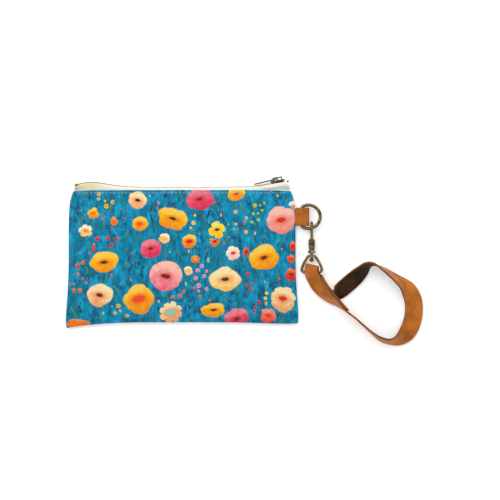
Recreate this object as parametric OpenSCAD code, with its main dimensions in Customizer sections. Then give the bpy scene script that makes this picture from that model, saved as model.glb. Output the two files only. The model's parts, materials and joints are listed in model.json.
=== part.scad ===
// A lined zip pouch lying on its back, with a side ring, a swivel clasp and a leather wrist strap.
// +X runs along the pouch towards the ring, +Y towards the zip, +Z out of the printed front.
// The origin is the middle of the back, on the surface that the pouch lies on.

/* [Pouch] */
// Width of the pouch at half its height
pouch_w = 200; // [160:1:260]
// Height of the pouch from its bottom seam to the edge of its mouth
pouch_h = 116; // [90:1:160]
// Thickness of the empty pouch at its middle, lying down
pouch_t = 9.5; // [9:0.1:14]
// Height of the side and bottom seams above the surface
seam_z = 2.4; // [2:0.1:3]
// How far the sides flare out at the bottom corners
foot_flare = 4.4; // [0:0.1:6]
// How far the sides draw in at the mouth
mouth_taper = 3.4; // [0:0.1:6]
// How far the left bottom corner hangs below the middle of the bottom seam
foot_drop_left = 7.6; // [0:0.1:8]
// How far the right bottom corner hangs below the middle of the bottom seam
foot_drop_right = 3.6; // [0:0.1:8]

/* [Cloth] */
// Thickness of the printed outer cloth
outer_t = 0.55; // [0.4:0.05:0.7]
// Thickness of the stiffening fleece
fleece_t = 0.6; // [0.4:0.05:0.8]
// Thickness of the lining cloth
lining_t = 0.25; // [0.2:0.05:0.4]
// Gap between two layers of cloth
layer_gap = 0.13; // [0.12:0.01:0.15]
// Space between fleece and lining that the sewn edge of the zip tape lies in
tape_room = 0.95; // [0.9:0.05:1.1]

/* [Zip] */
// Thickness of the zip tape
tape_t = 0.4; // [0.3:0.05:0.5]
// Height of the chain's centre above the surface
chain_z = 5; // [5:0.1:5.4]
// Width of one row of coil teeth
coil_w = 1.6; // [1.2:0.1:1.7]
// Height of the coil teeth above the tape
coil_h = 1.25; // [1:0.05:1.4]
// Distance of the slider's middle from the mouth's right corner
slider_inset = 12; // [11.5:0.5:20]
// Length of the slider's body
slider_l = 12.5; // [11:0.5:14]
// Width of the slider's body
slider_w = 7.6; // [7.4:0.1:7.8]
// Thickness of each of the slider's two plates
plate_t = 1.1; // [0.8:0.1:1.3]
// Upward tilt of the slider where the end of the chain rises, in degrees
slider_tilt = 9.5; // [0:0.5:12]
// Length of the pull, from its pivot to its tip
pull_l = 21; // [16:0.5:28]
// Width of the pull
pull_w = 5; // [4.4:0.1:6]
// Thickness of the pull
pull_t = 1; // [0.8:0.1:1.2]

/* [Side tab and ring] */
// Width of the folded leather tab
tab_w = 16; // [12:0.5:20]
// Thickness of the tab's leather
tab_t = 1.4; // [1:0.1:1.8]
// How far the tab stands out of the side seam
tab_reach = 12; // [11:0.1:14]
// Height of the tab's middle above the pouch's middle
tab_y = 35; // [20:0.5:38]
// Thickness of the ring's wire
ring_wire = 3; // [2.4:0.1:3.4]
// Reach of the ring's wire beyond each edge of the tab
ring_room = 2.4; // [2.2:0.1:4]
// Height of the ring, clasp and eye above the surface
metal_z = 4.8; // [4.8:0.1:6]

/* [Clasp] */
// Thickness of the claw's round bar
claw_wire = 2.3; // [2:0.1:2.5]
// Inner radius of the claw's crown
claw_r = 2.4; // [2.2:0.1:2.8]
// Width of the clasp's body
body_w = 5.6; // [5:0.1:6.4]
// Width of the thumb lever
gate_w = 2.2; // [1.8:0.1:2.6]
// Radius of the lever's hinge pin
pin_r = 0.6; // [0.5:0.05:0.7]
// Running clearance round pins and posts
run_gap = 0.06; // [0.04:0.01:0.1]
// Clearance between the lever and the cheeks of the clasp
side_gap = 0.2; // [0.1:0.05:0.3]
// Radius of the swivel's post
post_r = 1.1; // [0.9:0.1:1.3]
// Radius of the swivel's ball end
ball_r = 2; // [1.8:0.1:2.2]
// Thickness of the eye's wire
eye_wire = 2.4; // [2:0.1:2.6]
// Half the width of the eye, at the middle of its wire
eye_half = 9; // [8.9:0.1:11]
// Turn of the eye about the swivel, right side up, in degrees
eye_turn = 12; // [0:1:14]

/* [Wrist strap] */
// Width of the strap
strap_w = 16; // [14:0.5:17]
// Width of the strap where it passes through the eye
neck_w = 11.5; // [11:0.5:12]
// Thickness of the strap's leather
strap_t = 1.6; // [1.2:0.1:1.8]
// Gap between two layers of the strap
strap_gap = 0.2; // [0.15:0.05:0.3]

/* [Hidden] */
$fn = 48;
print_blue = "#0B7FB5";
fleece_white = "#EEEAE0";
lining_cream = "#E9DFC6";
tape_cream = "#F3E3B8";
antique_brass = "#8F7243";
leather_tan = "#B4601A";

// ---- helpers ----
function unit(v) = v / norm(v);
function clamp(x, low, high) = min(max(x, low), high);
function mix(a, b, t) = a + (b - a) * t;
function ease(t) = let (c = clamp(t, 0, 1)) c * c * (3 - 2 * c);

// Triangles between two point grids of n by m points that are stored one after the other
function slab_faces(n, m) = let (
    id = function (i, j, k) (k * n + i) * m + j,
    skin = [for (i = [0:n - 2], j = [0:m - 2], k = [0:1]) let (
        a = id(i, j, k), b = id(i + 1, j, k), c = id(i + 1, j + 1, k), d = id(i, j + 1, k)
    ) each (k == 0 ? [[a, b, c], [a, c, d]] : [[a, c, b], [a, d, c]])],
    rim = concat(
        [for (i = [0:n - 2]) [i, 0, i + 1, 0]], [for (j = [0:m - 2]) [n - 1, j, n - 1, j + 1]],
        [for (i = [n - 1:-1:1]) [i, m - 1, i - 1, m - 1]], [for (j = [m - 1:-1:1]) [0, j, 0, j - 1]]
    ),
    wall = [for (r = rim) let (
        a = id(r[0], r[1], 0), b = id(r[2], r[3], 0), c = id(r[2], r[3], 1), d = id(r[0], r[1], 1)
    ) each [[a, c, b], [a, d, c]]]
) concat(skin, wall);

// A bar swept along stations of [place, way of the outline's first axis, outline], open or as a closed ring
module sweep(line, ring = false) {
    n = len(line);
    m = len(line[0][2]);
    points = [for (i = [0:n - 1]) let (
        after = ring ? (i + 1) % n : min(i + 1, n - 1), before = ring ? (i + n - 1) % n : max(i - 1, 0),
        along = unit(line[after][0] - line[before][0]), way = line[i][1],
        w = unit(way - along * (way * along)), up = cross(along, w)
    ) for (p = line[i][2]) line[i][0] + w * p[0] + up * p[1]];
    sides = [for (i = [0:n - (ring ? 1 : 2)], k = [0:m - 1]) let (
        j = (i + 1) % n, l = (k + 1) % m, a = m * i + k, b = m * i + l, c = m * j + l, d = m * j + k
    ) each [[a, c, b], [a, d, c]]];
    last = m * (n - 1);
    ends = ring ? [] : [for (k = [1:m - 2]) each [[0, k, k + 1], [last + k + 1, last + k, last]]];
    polyhedron(points, concat(sides, ends));
}
function round_bar(d, step) = [for (a = [step / 2:step:360]) [cos(a), sin(a)] * d / 2];

// ---- the pouch's shape, over u from left to right and v from bottom to mouth, both -1 to 1 ----
foot_round = 2.6;
mouth_round = 0.8;
edge_rise = 0.9;
mouth_y = pouch_h / 2 + 0.3;
lie_flat_u = 0.9;
lie_flat_v = 0.86;
lift_from_v = 0.9;
mouth_lift = 0.62;
u_half = [0.2, 0.4, 0.6, 0.75, 0.85, 0.9, 0.93, 0.955, 0.98, 1];
u_lines = concat([for (i = [len(u_half) - 1:-1:0]) -u_half[i]], [0], u_half);
v_lines = [-1, -0.98, -0.955, -0.92, -0.86, -0.75, -0.55, -0.3, 0, 0.25, 0.5, 0.75, 0.9, 1];
function half_w(v) = pouch_w / 2 + (v < 0 ? foot_flare * v * v : -mouth_taper * pow(v, 6));
function corner(u, v) = pow(abs(u * v), 8);
function foot_drop(u) = mix(foot_drop_left, foot_drop_right, (u + 1) / 2) * pow(u, 4);
function pouch_x(u, v) = u * (half_w(v) - corner(u, v) * (v < 0 ? foot_round : mouth_round));
function pouch_y(u, v) = v < 0
    ? v * (pouch_h / 2 + foot_drop(u) - corner(u, v) * foot_round)
    : v * (mouth_y - corner(u, v) * mouth_round);
function bulge(t, sharp) = pow(max(0, 1 - pow(abs(t), sharp)), 0.42);
function dome(u, v) = bulge(u, v < 0 ? 3 : 3 + 3 * v) * (v < 0 ? bulge(v, 3) : 1 - 0.02 * v * v);
function front_z(u, v) = mix(seam_z + edge_rise, pouch_t, dome(u, v));
function back_z(u, v) = (seam_z - outer_t - 0.1) * pow(max(
    clamp((abs(u) - lie_flat_u) / (1 - lie_flat_u), 0, 1), clamp((-v - lie_flat_v) / (1 - lie_flat_v), 0, 1)
), 2) + mouth_lift * clamp((v - lift_from_v) / (1 - lift_from_v), 0, 1) * (1 - pow(u, 8));
function mouth_u(x) = x / half_w(1);

// A layer of the front or the back, between two depths under the outer face, drawn in from the seams
module layer(front, from, to, inset) {
    su = 1 - inset / (pouch_w / 2);
    sv = 1 - inset / (pouch_h / 2);
    function at(u, v, depth) = let (p = u * su, q = v < 0 ? v * sv : v)
        [pouch_x(p, q), pouch_y(p, q), front ? front_z(p, q) - depth : back_z(p, q) + depth];
    low = front ? to : from;
    high = front ? from : to;
    points = concat(
        [for (u = u_lines, v = v_lines) at(u, v, low)], [for (u = u_lines, v = v_lines) at(u, v, high)]
    );
    polyhedron(points, slab_faces(len(u_lines), len(v_lines)));
}
fleece_in = outer_t + layer_gap;
lining_in = fleece_in + fleece_t + tape_room;
fleece_inset = 2;
lining_inset = 7;

module outer_front_panel() { color(print_blue) layer(true, 0, outer_t, 0); }
module outer_back_panel() { color(print_blue) layer(false, 0, outer_t, 0); }
module fleece_front() { color(fleece_white) layer(true, fleece_in, fleece_in + fleece_t, fleece_inset); }
module fleece_back() { color(fleece_white) layer(false, fleece_in, fleece_in + fleece_t, fleece_inset); }
module lining_front() { color(lining_cream) layer(true, lining_in, lining_in + lining_t, lining_inset); }
module lining_back() { color(lining_cream) layer(false, lining_in, lining_in + lining_t, lining_inset); }

// ---- zip: the chain's height over the mouth, as [share of the half width, rise] ----
tape_half = half_w(1) - 2;
slider_x = half_w(1) - slider_inset;
slider_rise = 6;
nose_reach = 7.2;
tilt_rise = nose_reach * tan(slider_tilt);
chain_rise = [
    [-tape_half, 2.2], [-tape_half + 4, 4.8], [-tape_half + 11, 6.2], [-tape_half + 20, 6.1],
    [-tape_half + 30, 4.4], [-tape_half + 42, 2.6], [-tape_half + 62, 2], [0, 1.9], [tape_half - 62, 2],
    [slider_x - 26, 2.4], [slider_x - 14, 3.7], [slider_x - nose_reach, slider_rise - tilt_rise],
    [slider_x + nose_reach, slider_rise + tilt_rise], [tape_half - 2, slider_rise + tilt_rise - 0.7],
    [tape_half, slider_rise - 1]
];
tape_x = concat(
    [for (k = chain_rise) if (k[0] < slider_x - 17) k[0]],
    [for (d = [-16, -12, -nose_reach - 0.4, 0.5, 2, 3.5, nose_reach]) slider_x + d],
    [for (k = chain_rise) if (k[0] > slider_x + nose_reach) k[0]]
);
function chain_y(x) = mouth_y + lookup(x, chain_rise);
chain_slider_y = mouth_y + slider_rise;
tape_in = 7;
sewn_depth = fleece_in + fleece_t + tape_room / 2;
function sewn_z(side, x, y) = let (u = mouth_u(x), v = y / mouth_y)
    side > 0 ? front_z(u, v) - sewn_depth : sewn_depth + back_z(u, v);
// The two tapes part at the slider's nose and bulge out round its flanges
function split(x) = 0.12 + 1.2 * ease((x - slider_x - 0.5) / 3);
function flare(x) = ease(1 - (abs(x - slider_x) - 8) / 8);
function tape_line(side, x) = let (
    y = chain_y(x), deep = mouth_y - tape_in, turn = mouth_y * lift_from_v, edge = mouth_y - 0.5,
    open = flare(x), wide = slider_w / 2 + tape_t / 2 + 0.15
) [
    [deep, sewn_z(side, x, deep)], [turn, sewn_z(side, x, turn)], [edge, sewn_z(side, x, edge)],
    [mouth_y + 0.8, sewn_z(side, x, mouth_y) + side * 0.2],
    [mix(y - 0.9, y - 2.6, open), chain_z + side * mix(2.6, wide + 0.15, open)],
    [mix(y - 0.3, y - 0.2, open), chain_z + side * mix(1.9, wide, open)],
    [y, chain_z + side * mix(1.5, wide - 0.6, open)], [y, chain_z + side * split(x)]
];
function line_normal(line, i) = let (
    d = line[min(i + 1, len(line) - 1)] - line[max(i - 1, 0)]
) unit([-d[1], d[0]]);
module zipper_tape(side) {
    points = [for (k = [-1, 1], x = tape_x) let (line = tape_line(side, x)) for (i = [0:len(line) - 1])
        let (p = line[i] + side * k * line_normal(line, i) * tape_t / 2) [x, p[0], p[1]]];
    faces = slab_faces(len(tape_x), len(tape_line(side, 0)));
    polyhedron(points, side > 0 ? faces : [for (f = faces) [f[0], f[2], f[1]]]);
}
module zipper_tape_front() { color(tape_cream) zipper_tape(1); }
module zipper_tape_back() { color(tape_cream) zipper_tape(-1); }

chain_inset = 0.4;
coil_short = 2.6;
coil_x = [for (x = tape_x) if (x > -tape_half + chain_inset && x < tape_half - coil_short) x];
coil_ends = concat([-tape_half + chain_inset], coil_x, [tape_half - coil_short]);
module zipper_coil(side) {
    low = tape_t / 2 + 0.05;
    points = [for (y = [low, low + coil_h], x = coil_ends, w = [0, coil_w])
        [x, chain_y(x) + y, chain_z + side * (split(x) + w)]];
    faces = slab_faces(len(coil_ends), 2);
    polyhedron(points, side > 0 ? [for (f = faces) [f[0], f[2], f[1]]] : faces);
}
module zipper_coil_front() { color(tape_cream) zipper_coil(1); }
module zipper_coil_back() { color(tape_cream) zipper_coil(-1); }

stop_l = 3;
stop_t = 0.5;
stop_low = tape_t / 2 + 0.1;
stop_high = stop_low + coil_h + 0.15;
module bottom_stop() {
    x = -tape_half + chain_inset + 0.3 + stop_l / 2;
    wide = coil_w + split(x) + 0.15;
    slope = atan((chain_y(x + stop_l / 2) - chain_y(x - stop_l / 2)) / stop_l);
    color(tape_cream) translate([x, chain_y(x), chain_z]) rotate([0, 0, slope])
    translate([-stop_l / 2, 0, 0]) {
        translate([0, stop_high, -wide - stop_t]) cube([stop_l, stop_t, 2 * (wide + stop_t)]);
        for (z = [-wide - stop_t, wide])
            translate([0, stop_low, z]) cube([stop_l, stop_high - stop_low + 0.1, stop_t]);
    }
}
module top_stop(side) {
    x = tape_half - 2.4;
    color(antique_brass) translate([x, chain_y(x) + stop_low, chain_z + side * (split(x) + coil_w / 2)])
        translate([0, 0, -coil_w / 2]) cube([1.8, coil_h + 0.3, coil_w]);
}
module top_stop_front() { top_stop(1); }
module top_stop_back() { top_stop(-1); }

// ---- slider, drawn with its plates level and its channel's middle at the origin, then tilted ----
channel_low = -tape_t / 2 - 0.3;
channel_high = tape_t / 2 + 0.05 + coil_h + 0.3;
slot_half = tape_t / 2 + 0.25;
flange_t = 0.8;
plate_top = channel_high + plate_t;
arch_t = 0.9;
arch_room = 1.9;
arch_half = 4.2;
bar_r = 0.6;
bar_y = plate_top + 1.25;
module at_slider() { translate([slider_x, chain_slider_y, chain_z]) rotate([0, 0, slider_tilt]) children(); }
// Outline of the plates: wide at the nose, narrow at the tail
module plate_shape() {
    tail = slider_w / 2 - 0.7;
    polygon([
        [-slider_l / 2, -tail + 0.8], [-slider_l / 2 + 0.8, -tail], [0, -slider_w / 2],
        [slider_l / 2 - 2.4, -slider_w / 2],
        [slider_l / 2 - 0.6, -slider_w / 2 + 1.4], [slider_l / 2, -1.2], [slider_l / 2, 1.2],
        [slider_l / 2 - 0.6, slider_w / 2 - 1.4], [slider_l / 2 - 2.4, slider_w / 2], [0, slider_w / 2],
        [-slider_l / 2 + 0.8, tail], [-slider_l / 2, tail - 0.8]
    ]);
}
module upright(y, h) { translate([0, y + h, 0]) rotate([90, 0, 0]) linear_extrude(h) children(); }
module flange_shape() {
    difference() {
        plate_shape();
        translate([-slider_l, -slider_w / 2 + flange_t]) square([2 * slider_l, slider_w - 2 * flange_t]);
    }
}
module slider_body() {
    color(antique_brass) at_slider() {
        upright(channel_low - plate_t, plate_t) plate_shape();
        upright(channel_high, plate_t) plate_shape();
        upright(channel_low - 0.1, -slot_half - channel_low + 0.1) flange_shape();
        upright(slot_half, channel_high - slot_half + 0.1) flange_shape();
        translate([slider_l / 2 - 1.7, channel_low - 0.1, 0]) rotate([-90, 0, 0])
            cylinder(h = channel_high - channel_low + 0.2, r = 0.8);
        translate([-arch_half, plate_top + arch_room, -0.8]) cube([2 * arch_half, arch_t, 1.6]);
        for (x = [-arch_half, arch_half - arch_t])
            translate([x, plate_top - 0.1, -0.8]) cube([arch_t, arch_room + 0.2, 1.6]);
    }
}
pull_fall = 4;
pull_eye = 5;
module pull_tab() {
    color(antique_brass) at_slider() translate([0, bar_y, 0]) rotate([0, 0, pull_fall]) {
        translate([0, 0, -pull_w / 2 + 0.3]) cylinder(h = pull_w - 0.6, r = bar_r);
        for (z = [-pull_w / 2, pull_w / 2 - 1.2])
            translate([-pull_eye, -pull_t / 2, z]) cube([pull_eye, pull_t, 1.2]);
        upright(-pull_t / 2, pull_t) difference() {
            union() {
                translate([-pull_l + pull_w / 2, 0]) circle(r = pull_w / 2);
                translate([-pull_l + pull_w / 2, -pull_w / 2]) square([pull_l - pull_w / 2 - pull_eye, pull_w]);
            }
            translate([-pull_l + pull_w / 2, 0]) circle(r = 1.1);
        }
    }
}

// ---- topstitching along the mouth ----
stitch_l = 2.4;
stitch_pitch = 3.4;
stitch_w = 0.5;
stitch_t = 0.25;
stitch_in = 2.5;
stitch_half = half_w(1) - 5;
module topstitch(front) {
    count = floor(2 * stitch_half / stitch_pitch);
    for (i = [0:count]) {
        x = (i - count / 2) * stitch_pitch;
        v = 1 - stitch_in / mouth_y;
        u = mouth_u(x);
        z = front ? front_z(u, v) + 0.1 : back_z(u, v) - stitch_t - 0.04;
        slope = front ? atan((front_z(mouth_u(x + 1), v) - front_z(mouth_u(x - 1), v)) / 2) : 0;
        translate([x, mouth_y - stitch_in, z]) rotate([0, -slope, 0])
            translate([-stitch_l / 2, -stitch_w / 2, 0]) cube([stitch_l, stitch_w, stitch_t]);
    }
}
module topstitch_front() { color("ivory") topstitch(true); }
module topstitch_back() { color("ivory") topstitch(false); }

// ---- side tab and ring ----
tab_x = pouch_x(1, tab_y / mouth_y) + 0.2;
tab_end = tab_x + tab_reach;
fold_in = ring_wire / 2 + 0.3;
fold_x = tab_end - fold_in - tab_t;
bar_x = fold_x - 3.2;
module side_tab() {
    root = tab_t + 0.05;
    color(leather_tan) translate([0, tab_y + tab_w / 2, 0]) rotate([90, 0, 0])
    linear_extrude(tab_w) difference() {
        union() {
            translate([fold_x, metal_z]) circle(r = fold_in + tab_t);
            polygon([
                [tab_x, seam_z - root], [fold_x, metal_z - fold_in - tab_t],
                [fold_x, metal_z + fold_in + tab_t], [tab_x + 3.4, metal_z + fold_in + tab_t],
                [tab_x, seam_z + root + 0.3]
            ]);
        }
        translate([fold_x, metal_z]) circle(r = fold_in);
        polygon([
            [tab_x - 1, seam_z - 0.05], [tab_x + 0.5, seam_z - 0.05], [tab_x + 3.4, metal_z - fold_in],
            [fold_x, metal_z - fold_in], [fold_x, metal_z + fold_in], [tab_x + 3.9, metal_z + fold_in],
            [tab_x + 0.5, seam_z + 0.05], [tab_x - 1, seam_z + 0.05]
        ]);
    }
}

ring_flat = 5.7;
ring_corner = 2.6;
ring_x = bar_x + ring_flat;
corner_x = ring_corner - ring_flat;
ring_r = tab_w / 2 + ring_room;
corner_y = sqrt(pow(ring_r - ring_corner, 2) - corner_x * corner_x);
corner_angle = atan2(corner_y, corner_x);
function arc(x, y, r, from, to, step) = [for (a = [from:step:to]) [x + r * cos(a), y + r * sin(a), 0]];
ring_line = concat(
    arc(0, 0, ring_r, -corner_angle, corner_angle, corner_angle / 16),
    arc(corner_x, corner_y, ring_corner, corner_angle + 15, 180, (165 - corner_angle) / 3),
    arc(corner_x, -corner_y, ring_corner, 180, 345 - corner_angle, (165 - corner_angle) / 3)
);
module d_ring() {
    color(antique_brass) translate([ring_x, tab_y, metal_z]) {
        sweep([for (p = ring_line) [p, [0, 0, 1], round_bar(ring_wire, 20)]], true);
        translate([-ring_flat, corner_y - 0.5, 0]) rotate([90, 0, 0])
            cylinder(h = 2 * corner_y - 1, r = ring_wire / 2 + 0.02);
    }
}

// ---- clasp, hanging from the lower side of the ring's bow ----
hang_angle = 74;
hook_x = ring_x + ring_r * cos(hang_angle);
wire_y = tab_y - ring_r * sin(hang_angle);
crown_y = wire_y + 1.2;
crown_r = claw_r + claw_wire / 2;
nib_y = wire_y - 1.9;
gate_y = wire_y - 13.3;
gate_z = metal_z + 1.1;
bell_y = gate_y - 8;
slot_w = gate_w + 2 * side_gap;
module along_y(y, h, r1, r2) {
    translate([hook_x, y, metal_z]) rotate([-90, 0, 0]) cylinder(h = h, r1 = r1, r2 = r2);
}
module across(y, z, r, w) { translate([hook_x - w / 2, y, z]) rotate([0, 90, 0]) cylinder(h = w, r = r, $fn = 32); }
module clasp_hook() {
    color(antique_brass) difference() {
        union() {
            translate([hook_x, crown_y, metal_z]) rotate([0, 90, 0]) rotate_extrude(angle = 180)
                translate([crown_r, 0]) circle(d = claw_wire);
            translate([hook_x, crown_y, metal_z + crown_r]) rotate([90, 0, 0])
                cylinder(h = crown_y - nib_y, d = claw_wire);
            translate([hook_x, crown_y, metal_z - crown_r]) rotate([90, 0, 0])
                cylinder(h = crown_y - gate_y - 1, d = claw_wire);
            hull() {
                across(gate_y + 2.6, metal_z - crown_r + 0.5, 1.6, 3);
                across(gate_y - 0.6, metal_z - 0.9, 3.2, body_w);
                across(gate_y - 0.6, gate_z - 0.1, 1.8, body_w);
                across(gate_y - 4.2, metal_z, 2.4, body_w - 1.2);
            }
            along_y(bell_y, 2.4, 3.35, 2.3);
            along_y(bell_y - 0.9, 0.9, 2.9, 3.35);
        }
        translate([hook_x - slot_w / 2, gate_y - 3.6, metal_z - 0.9]) cube([slot_w, 12, 8]);
        across(gate_y, gate_z, pin_r, body_w + 2);
        along_y(bell_y - 2, 4.4, post_r, post_r);
    }
}
module gate_pin() { color(antique_brass) across(gate_y, gate_z, pin_r, body_w); }
gate_reach = 10.9;
gate_h = 1.7;
gate_fall = 4.4;
module clasp_gate() {
    color(antique_brass) difference() {
        union() {
            across(gate_y, gate_z, 1.5, gate_w);
            translate([hook_x - gate_w / 2, gate_y, gate_z]) rotate([gate_fall, 0, 0])
                translate([0, 0, -0.2]) cube([gate_w, gate_reach, gate_h]);
            translate([hook_x, gate_y + 1.2, gate_z + 1]) cylinder(h = 2.2, r1 = 0.9, r2 = 1.2);
            translate([hook_x, gate_y + 1.2, gate_z + 3.2]) sphere(r = 1.2);
        }
        across(gate_y, gate_z, pin_r + run_gap, gate_w + 2);
    }
}
module gate_spring() {
    color("silver") translate([hook_x - 0.7, gate_y - 3.3, metal_z - 0.75]) {
        cube([1.4, 6.4, 0.25]);
        cube([1.4, 0.25, 1.6]);
    }
}
rivet_top = bell_y + 1.6;
ball_y = bell_y - 6.6;
module swivel_rivet() {
    color(antique_brass) {
        along_y(ball_y + 1, rivet_top - ball_y - 1, post_r - 0.02, post_r - 0.02);
        translate([hook_x, ball_y, metal_z]) sphere(r = ball_r);
    }
}
collar_h = 2.4;
collar_y = ball_y + ball_r + 0.35;
eye_y = collar_y + collar_h / 2;
bar_drop = 14.4;
eye_bar_y = eye_y - bar_drop;
eye_path = [
    [1.4, 0], [3, -0.6], [4.4, -2.4], [6.6, -5.8], [eye_half - 0.5, -10], [eye_half, -12.2],
    [eye_half - 0.4, -13.4], [eye_half - 1.3, -bar_drop + 0.2], [eye_half - 2.4, -bar_drop]
];
module at_eye() { translate([hook_x, eye_y, metal_z]) rotate([0, -eye_turn, 0]) children(); }
module swivel_eye() {
    color(antique_brass) difference() {
        at_eye() {
            translate([0, -collar_h / 2, 0]) rotate([-90, 0, 0]) cylinder(h = collar_h, r = 2.3);
            sweep([for (p = concat([for (i = [0:len(eye_path) - 1]) eye_path[i]],
                [for (i = [len(eye_path) - 1:-1:0]) [-eye_path[i][0], eye_path[i][1]]]))
                [[p[0], p[1], 0], [0, 0, 1], round_bar(eye_wire, 30)]]);
            translate([2.6 - eye_half, -bar_drop, 0]) rotate([0, 90, 0])
            cylinder(h = 2 * (eye_half - 2.6), d = eye_wire);
        }
        along_y(collar_y - 3, 9, post_r + run_gap, post_r + run_gap);
    }
}

// ---- wrist strap: one strip, as places of its middle line and the way that its width points ----
// x and y are measured from the middle of the eye's bar, z from the surface.
bar = [hook_x, eye_bar_y, 0];
pair = strap_t + strap_gap;
bar_pass = eye_wire / 2 + 0.5 + strap_t / 2;
// Doubled neck, from the fold at the eye to the end of the folded-back tail:
// place, way of the width, half the spread of the two layers, share of the full width
neck = [
    [[0.3, 3.4, metal_z + 0.15], [0.95, -0.2, 0.21], bar_pass, 0],
    [[0.1, -1.8, metal_z + 0.15], [0.95, -0.16, 0.22], bar_pass, 0],
    [[2.4, -5.8, 7.6], [0.84, -0.02, 0.46], 1.5, 0.3],
    [[6.2, -12.4, 9.2], [0.68, 0.2, 0.68], pair / 2, 0.8],
    [[11.4, -18, 9.6], [0.5, 0.34, 0.8], pair / 2, 1],
    [[17.6, -23.4, 9], [0.3, 0.34, 0.93], pair / 2, 1],
    [[24.4, -28.4, 8.6], [0.1, 0.13, 0.98], pair / 2, 1],
    [[31.2, -34, 8.4], [0, 0, 1], pair / 2, 1]
];
// Single strip, from the tail's end round the loop: place, way of the width
loop = [
    [[38, -40.2, 8.2], [0, 0, 1]], [[46, -47.4, 8.2], [0, 0.02, 1]], [[54, -54.2, 8.2], [0.02, 0.08, 1]],
    [[61, -59, 8.2], [0.06, 0.2, 0.97]], [[68.5, -61, 8.1], [-0.02, 0.3, 0.95]],
    [[76.5, -59, 6.9], [-0.42, 0.5, 0.75]], [[84.2, -52.8, 4.2], [-0.84, 0.42, 0.33]],
    [[88.4, -44.5, 2.7], [-0.97, 0.15, 0.16]], [[90.2, -35, 2.4], [-0.99, 0, 0.13]],
    [[89.6, -25.6, 3.1], [-0.96, -0.18, 0.2]], [[86, -17, 4.9], [-0.78, -0.42, 0.44]],
    [[79.6, -9.8, 7.2], [-0.42, -0.38, 0.8]], [[71, -3, 8.1], [-0.2, -0.28, 0.93]],
    [[62, 3.2, 8.4], [-0.08, -0.14, 0.98]], [[54.4, 6.8, 8.5], [-0.06, 0.12, 0.98]],
    [[48.6, 5.6, 8.2], [-0.26, 0.36, 0.89]], [[43.6, 0.4, 7], [-0.48, 0.55, 0.68]],
    [[38, -5.2, 5.6], [-0.6, 0.64, 0.48]], [[31, -11.4, 5.1], [-0.62, 0.65, 0.43]],
    [[24.5, -16.8, 5.1], [-0.56, 0.62, 0.52]]
];
// Lower end of the loop on its way under the doubled neck, and the neck's places that it ends at
tuck = [[[19.4, -19.6, 6], [-0.2, 0.6, 0.77]], [[14.6, -18.4, 6.8], [0.2, 0.42, 0.85]]];
tuck_under = [3, 2];

function neck_t(i) = unit(neck[min(i + 1, len(neck) - 1)][0] - neck[max(i - 1, 0)][0]);
function neck_n(i) = unit(cross(neck_t(i), neck[i][1]));
function neck_at(i, off) = [bar + neck[i][0] + neck_n(i) * off, neck[i][1], mix(neck_w, strap_w, neck[i][3])];
function fold_at(a) = [
    bar + neck[0][0] - bar_pass * (neck_n(0) * cos(a) + neck_t(0) * sin(a)), neck[0][1], neck_w
];
strap_line = concat(
    [for (i = [len(neck) - 1:-1:0]) neck_at(i, -neck[i][2])],
    [for (a = [30:30:150]) fold_at(a)],
    [for (i = [0:len(neck) - 1]) neck_at(i, neck[i][2])],
    [for (p = concat(loop, tuck)) [bar + p[0], p[1], strap_w]],
    [for (i = tuck_under) neck_at(i, -neck[i][2] - pair)]
);
// Catmull-Rom curve through the places, with one more ring halfway between two
function between(list, i) = let (
    n = len(list) - 1, a = list[max(i - 1, 0)], b = list[i], c = list[i + 1], d = list[min(i + 2, n)]
) [(9 * (b[0] + c[0]) - a[0] - d[0]) / 16, (b[1] + c[1]) / 2, (b[2] + c[2]) / 2];
function finer(list) = [for (i = [0:len(list) - 1]) each (i < len(list) - 1 ? [list[i], between(list, i)] : [list[i]])];
function leather(w) = [for (c = [[-1, -1], [1, -1], [1, 1], [-1, 1]]) [c[0] * w / 2, c[1] * strap_t / 2]];
module wrist_strap() { color(leather_tan) sweep([for (p = finer(strap_line)) [p[0], p[1], leather(p[2])]]); }

outer_front_panel();
outer_back_panel();
fleece_front();
fleece_back();
lining_front();
lining_back();
zipper_tape_front();
zipper_tape_back();
zipper_coil_front();
zipper_coil_back();
bottom_stop();
top_stop_front();
top_stop_back();
slider_body();
pull_tab();
topstitch_front();
topstitch_back();
side_tab();
d_ring();
clasp_hook();
clasp_gate();
gate_pin();
gate_spring();
swivel_rivet();
swivel_eye();
wrist_strap();
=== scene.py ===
# %% [markdown]
# # A zip wristlet in printed cotton, with antique brass hardware and a leather wrist strap
#
# The moving frame is loaded first: every piece made below rides on one of its bodies.
# Sizes in this script are in millimetres wherever a name ends in `_mm` or a table says so, and
# the functions that build a mesh turn them into metres.

# %% Load the frame
import json
import math
import random

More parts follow.
